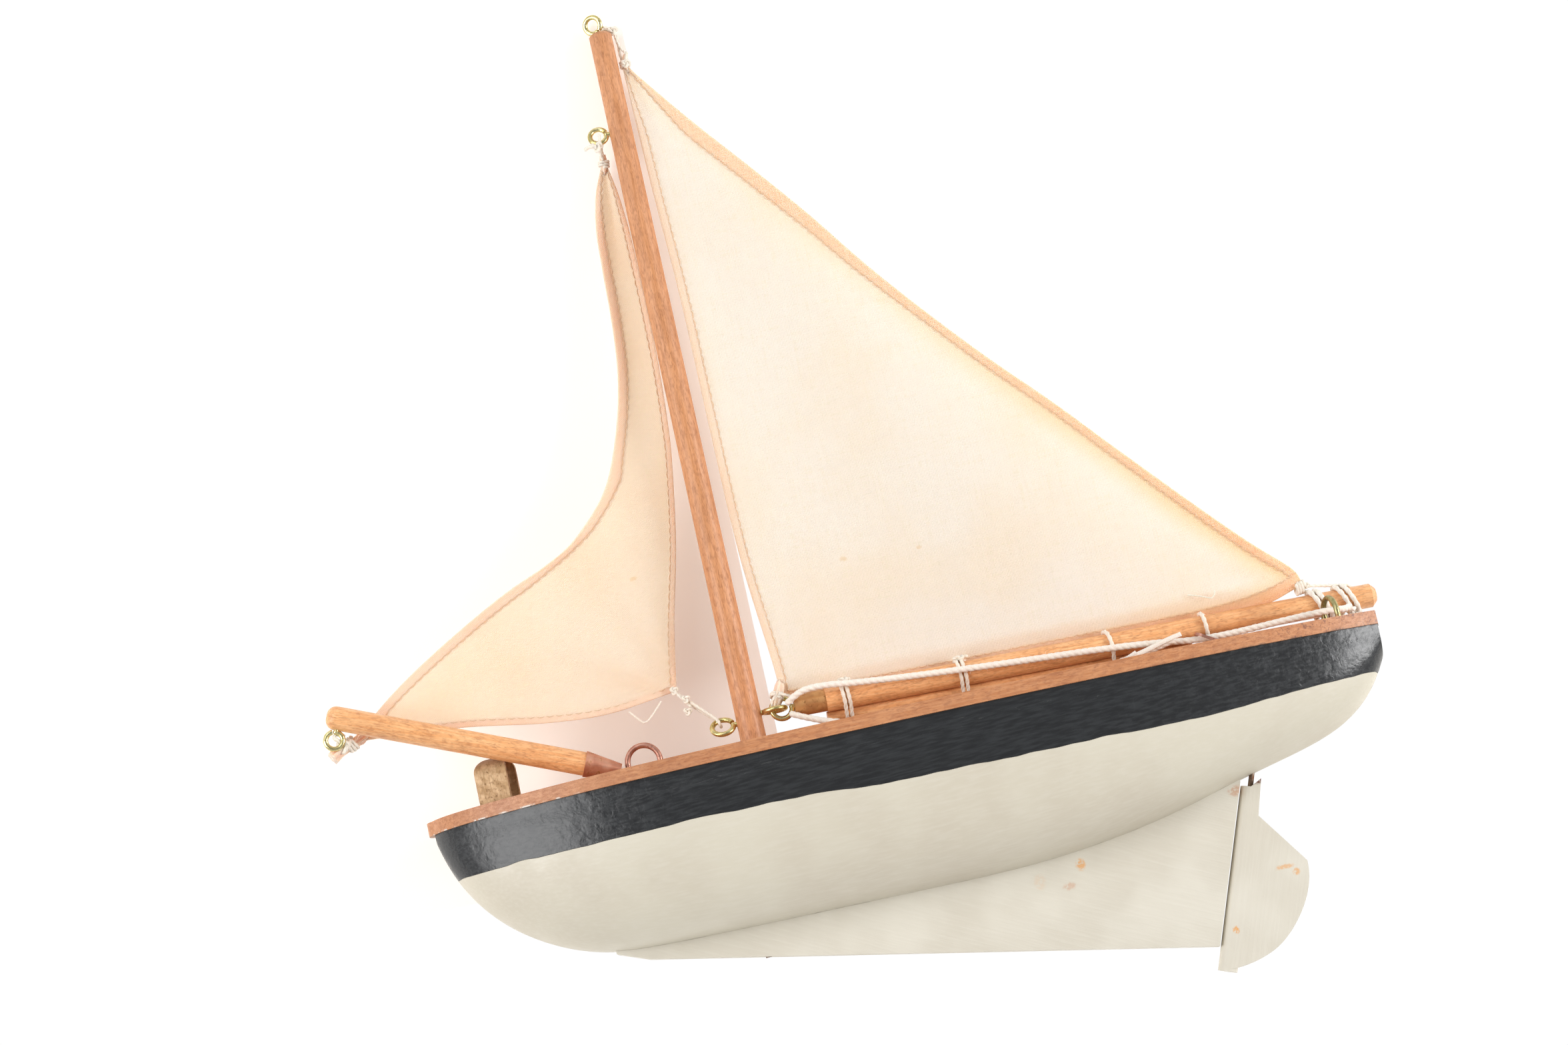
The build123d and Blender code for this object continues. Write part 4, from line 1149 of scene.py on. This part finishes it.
def daylight():
    """A white studio: bright all round, dimmer behind the camera, so that gloss shows shape."""
    world = bpy.data.worlds.new("studio")
    bpy.context.scene.world = world
    world.use_nodes = True
    nodes, links = world.node_tree.nodes, world.node_tree.links
    place = nodes.new("ShaderNodeTexCoord").outputs["Generated"]
    parts = nodes.new("ShaderNodeSeparateXYZ")
    links.new(place, parts.inputs[0])
    behind = nodes.new("ShaderNodeMapRange")
    behind.interpolation_type = "SMOOTHSTEP"
    links.new(parts.outputs[1], behind.inputs["Value"])
    for socket, value in zip(("From Min", "From Max", "To Min", "To Max"), (-1.0, -0.45, 0.28, 0.66)):
        behind.inputs[socket].default_value = value
    seen = nodes.new("ShaderNodeLightPath").outputs["Is Camera Ray"]
    strength = nodes.new("ShaderNodeMix")
    strength.data_type = "FLOAT"
    links.new(seen, strength.inputs[0])
    links.new(behind.outputs[0], strength.inputs[2])
    strength.inputs[3].default_value = 1.02
    links.new(strength.outputs[0], nodes["Background"].inputs["Strength"])
    nodes["Background"].inputs["Color"].default_value = (1.0, 1.0, 1.0, 1.0)


def camera():
    lens = bpy.data.cameras.new("camera")
    lens.lens = 87.7
    lens.sensor_width = 36
    made = bpy.data.objects.new("camera", lens)
    aim = Vector((0.0199, 0, 0.1113))
    made.location = (0.0199, -0.9854, -0.0589)
    made.rotation_mode = "QUATERNION"
    level = (aim - made.location).to_track_quat("-Z", "Y")
    made.rotation_quaternion = level @ Quaternion((0, 0, 1), radians(-12.5))
    bpy.context.scene.collection.objects.link(made)
    bpy.context.scene.camera = made


def stage():
    bpy.context.scene.view_settings.view_transform = "Standard"
    table()
    daylight()
    middle = deck(20, 0, 50)
    lamp("key", Vector((-0.8, -2.5, 1.7)), middle, (1.4, 1.0), 15.0, (1.0, 0.99, 0.98))
    lamp("bow_light", Vector((-0.98, -0.86, 0.05)), middle, (0.8, 0.7), 9.5, (1.0, 1.0, 1.0))
    lamp("stern_light", Vector((1.22, -0.62, 0.05)), middle, (0.5, 0.6), 11.0, (1.0, 1.0, 1.0))
    camera()


stage()
dress_frame()

# Each yarn's second colour is its painted shade in the fibres' hollows, also used for its darker patches.
cord_yarn = cotton("cord_cotton", paint(253, 248, 239), paint(240, 229, 213), 0.00018)
thread_yarn = cotton("thread_cotton", paint(253, 247, 236), paint(238, 224, 203), 0.00014)
sewing_yarn = cotton("sewing_thread", paint(236, 200, 164), paint(216, 172, 132), 0.00012)
main_cloth = sail_cloth("main_cloth", 0.0, (paint(255, 229, 214), paint(254, 223, 204)), 0.62,
                        [(deck(33, 3, 45), 0.0012), (deck(53, 4, 44), 0.0010)])
# The jib's cloth is the same cloth painted a shade darker than the mainsail's: painted shade for the jib's weaker
# light.
jib_shaded_cloth = sail_cloth("jib_shaded_cloth", 32.0, (paint(248, 216, 195), paint(245, 209, 186)), 0.16,
                       [(deck(-22, 3, 52), 0.0012)])

main_sheet(cord_yarn)
sheet_tail(cord_yarn)
cord_ends(cord_yarn)
main_sail(main_cloth, sewing_yarn)
jib(jib_shaded_cloth, sewing_yarn)
foot_ties(thread_yarn)
boom_end_lashing(cord_yarn)
main_ties(thread_yarn, main_cloth)
jib_ties(thread_yarn, jib_shaded_cloth)
stray_threads(thread_yarn)
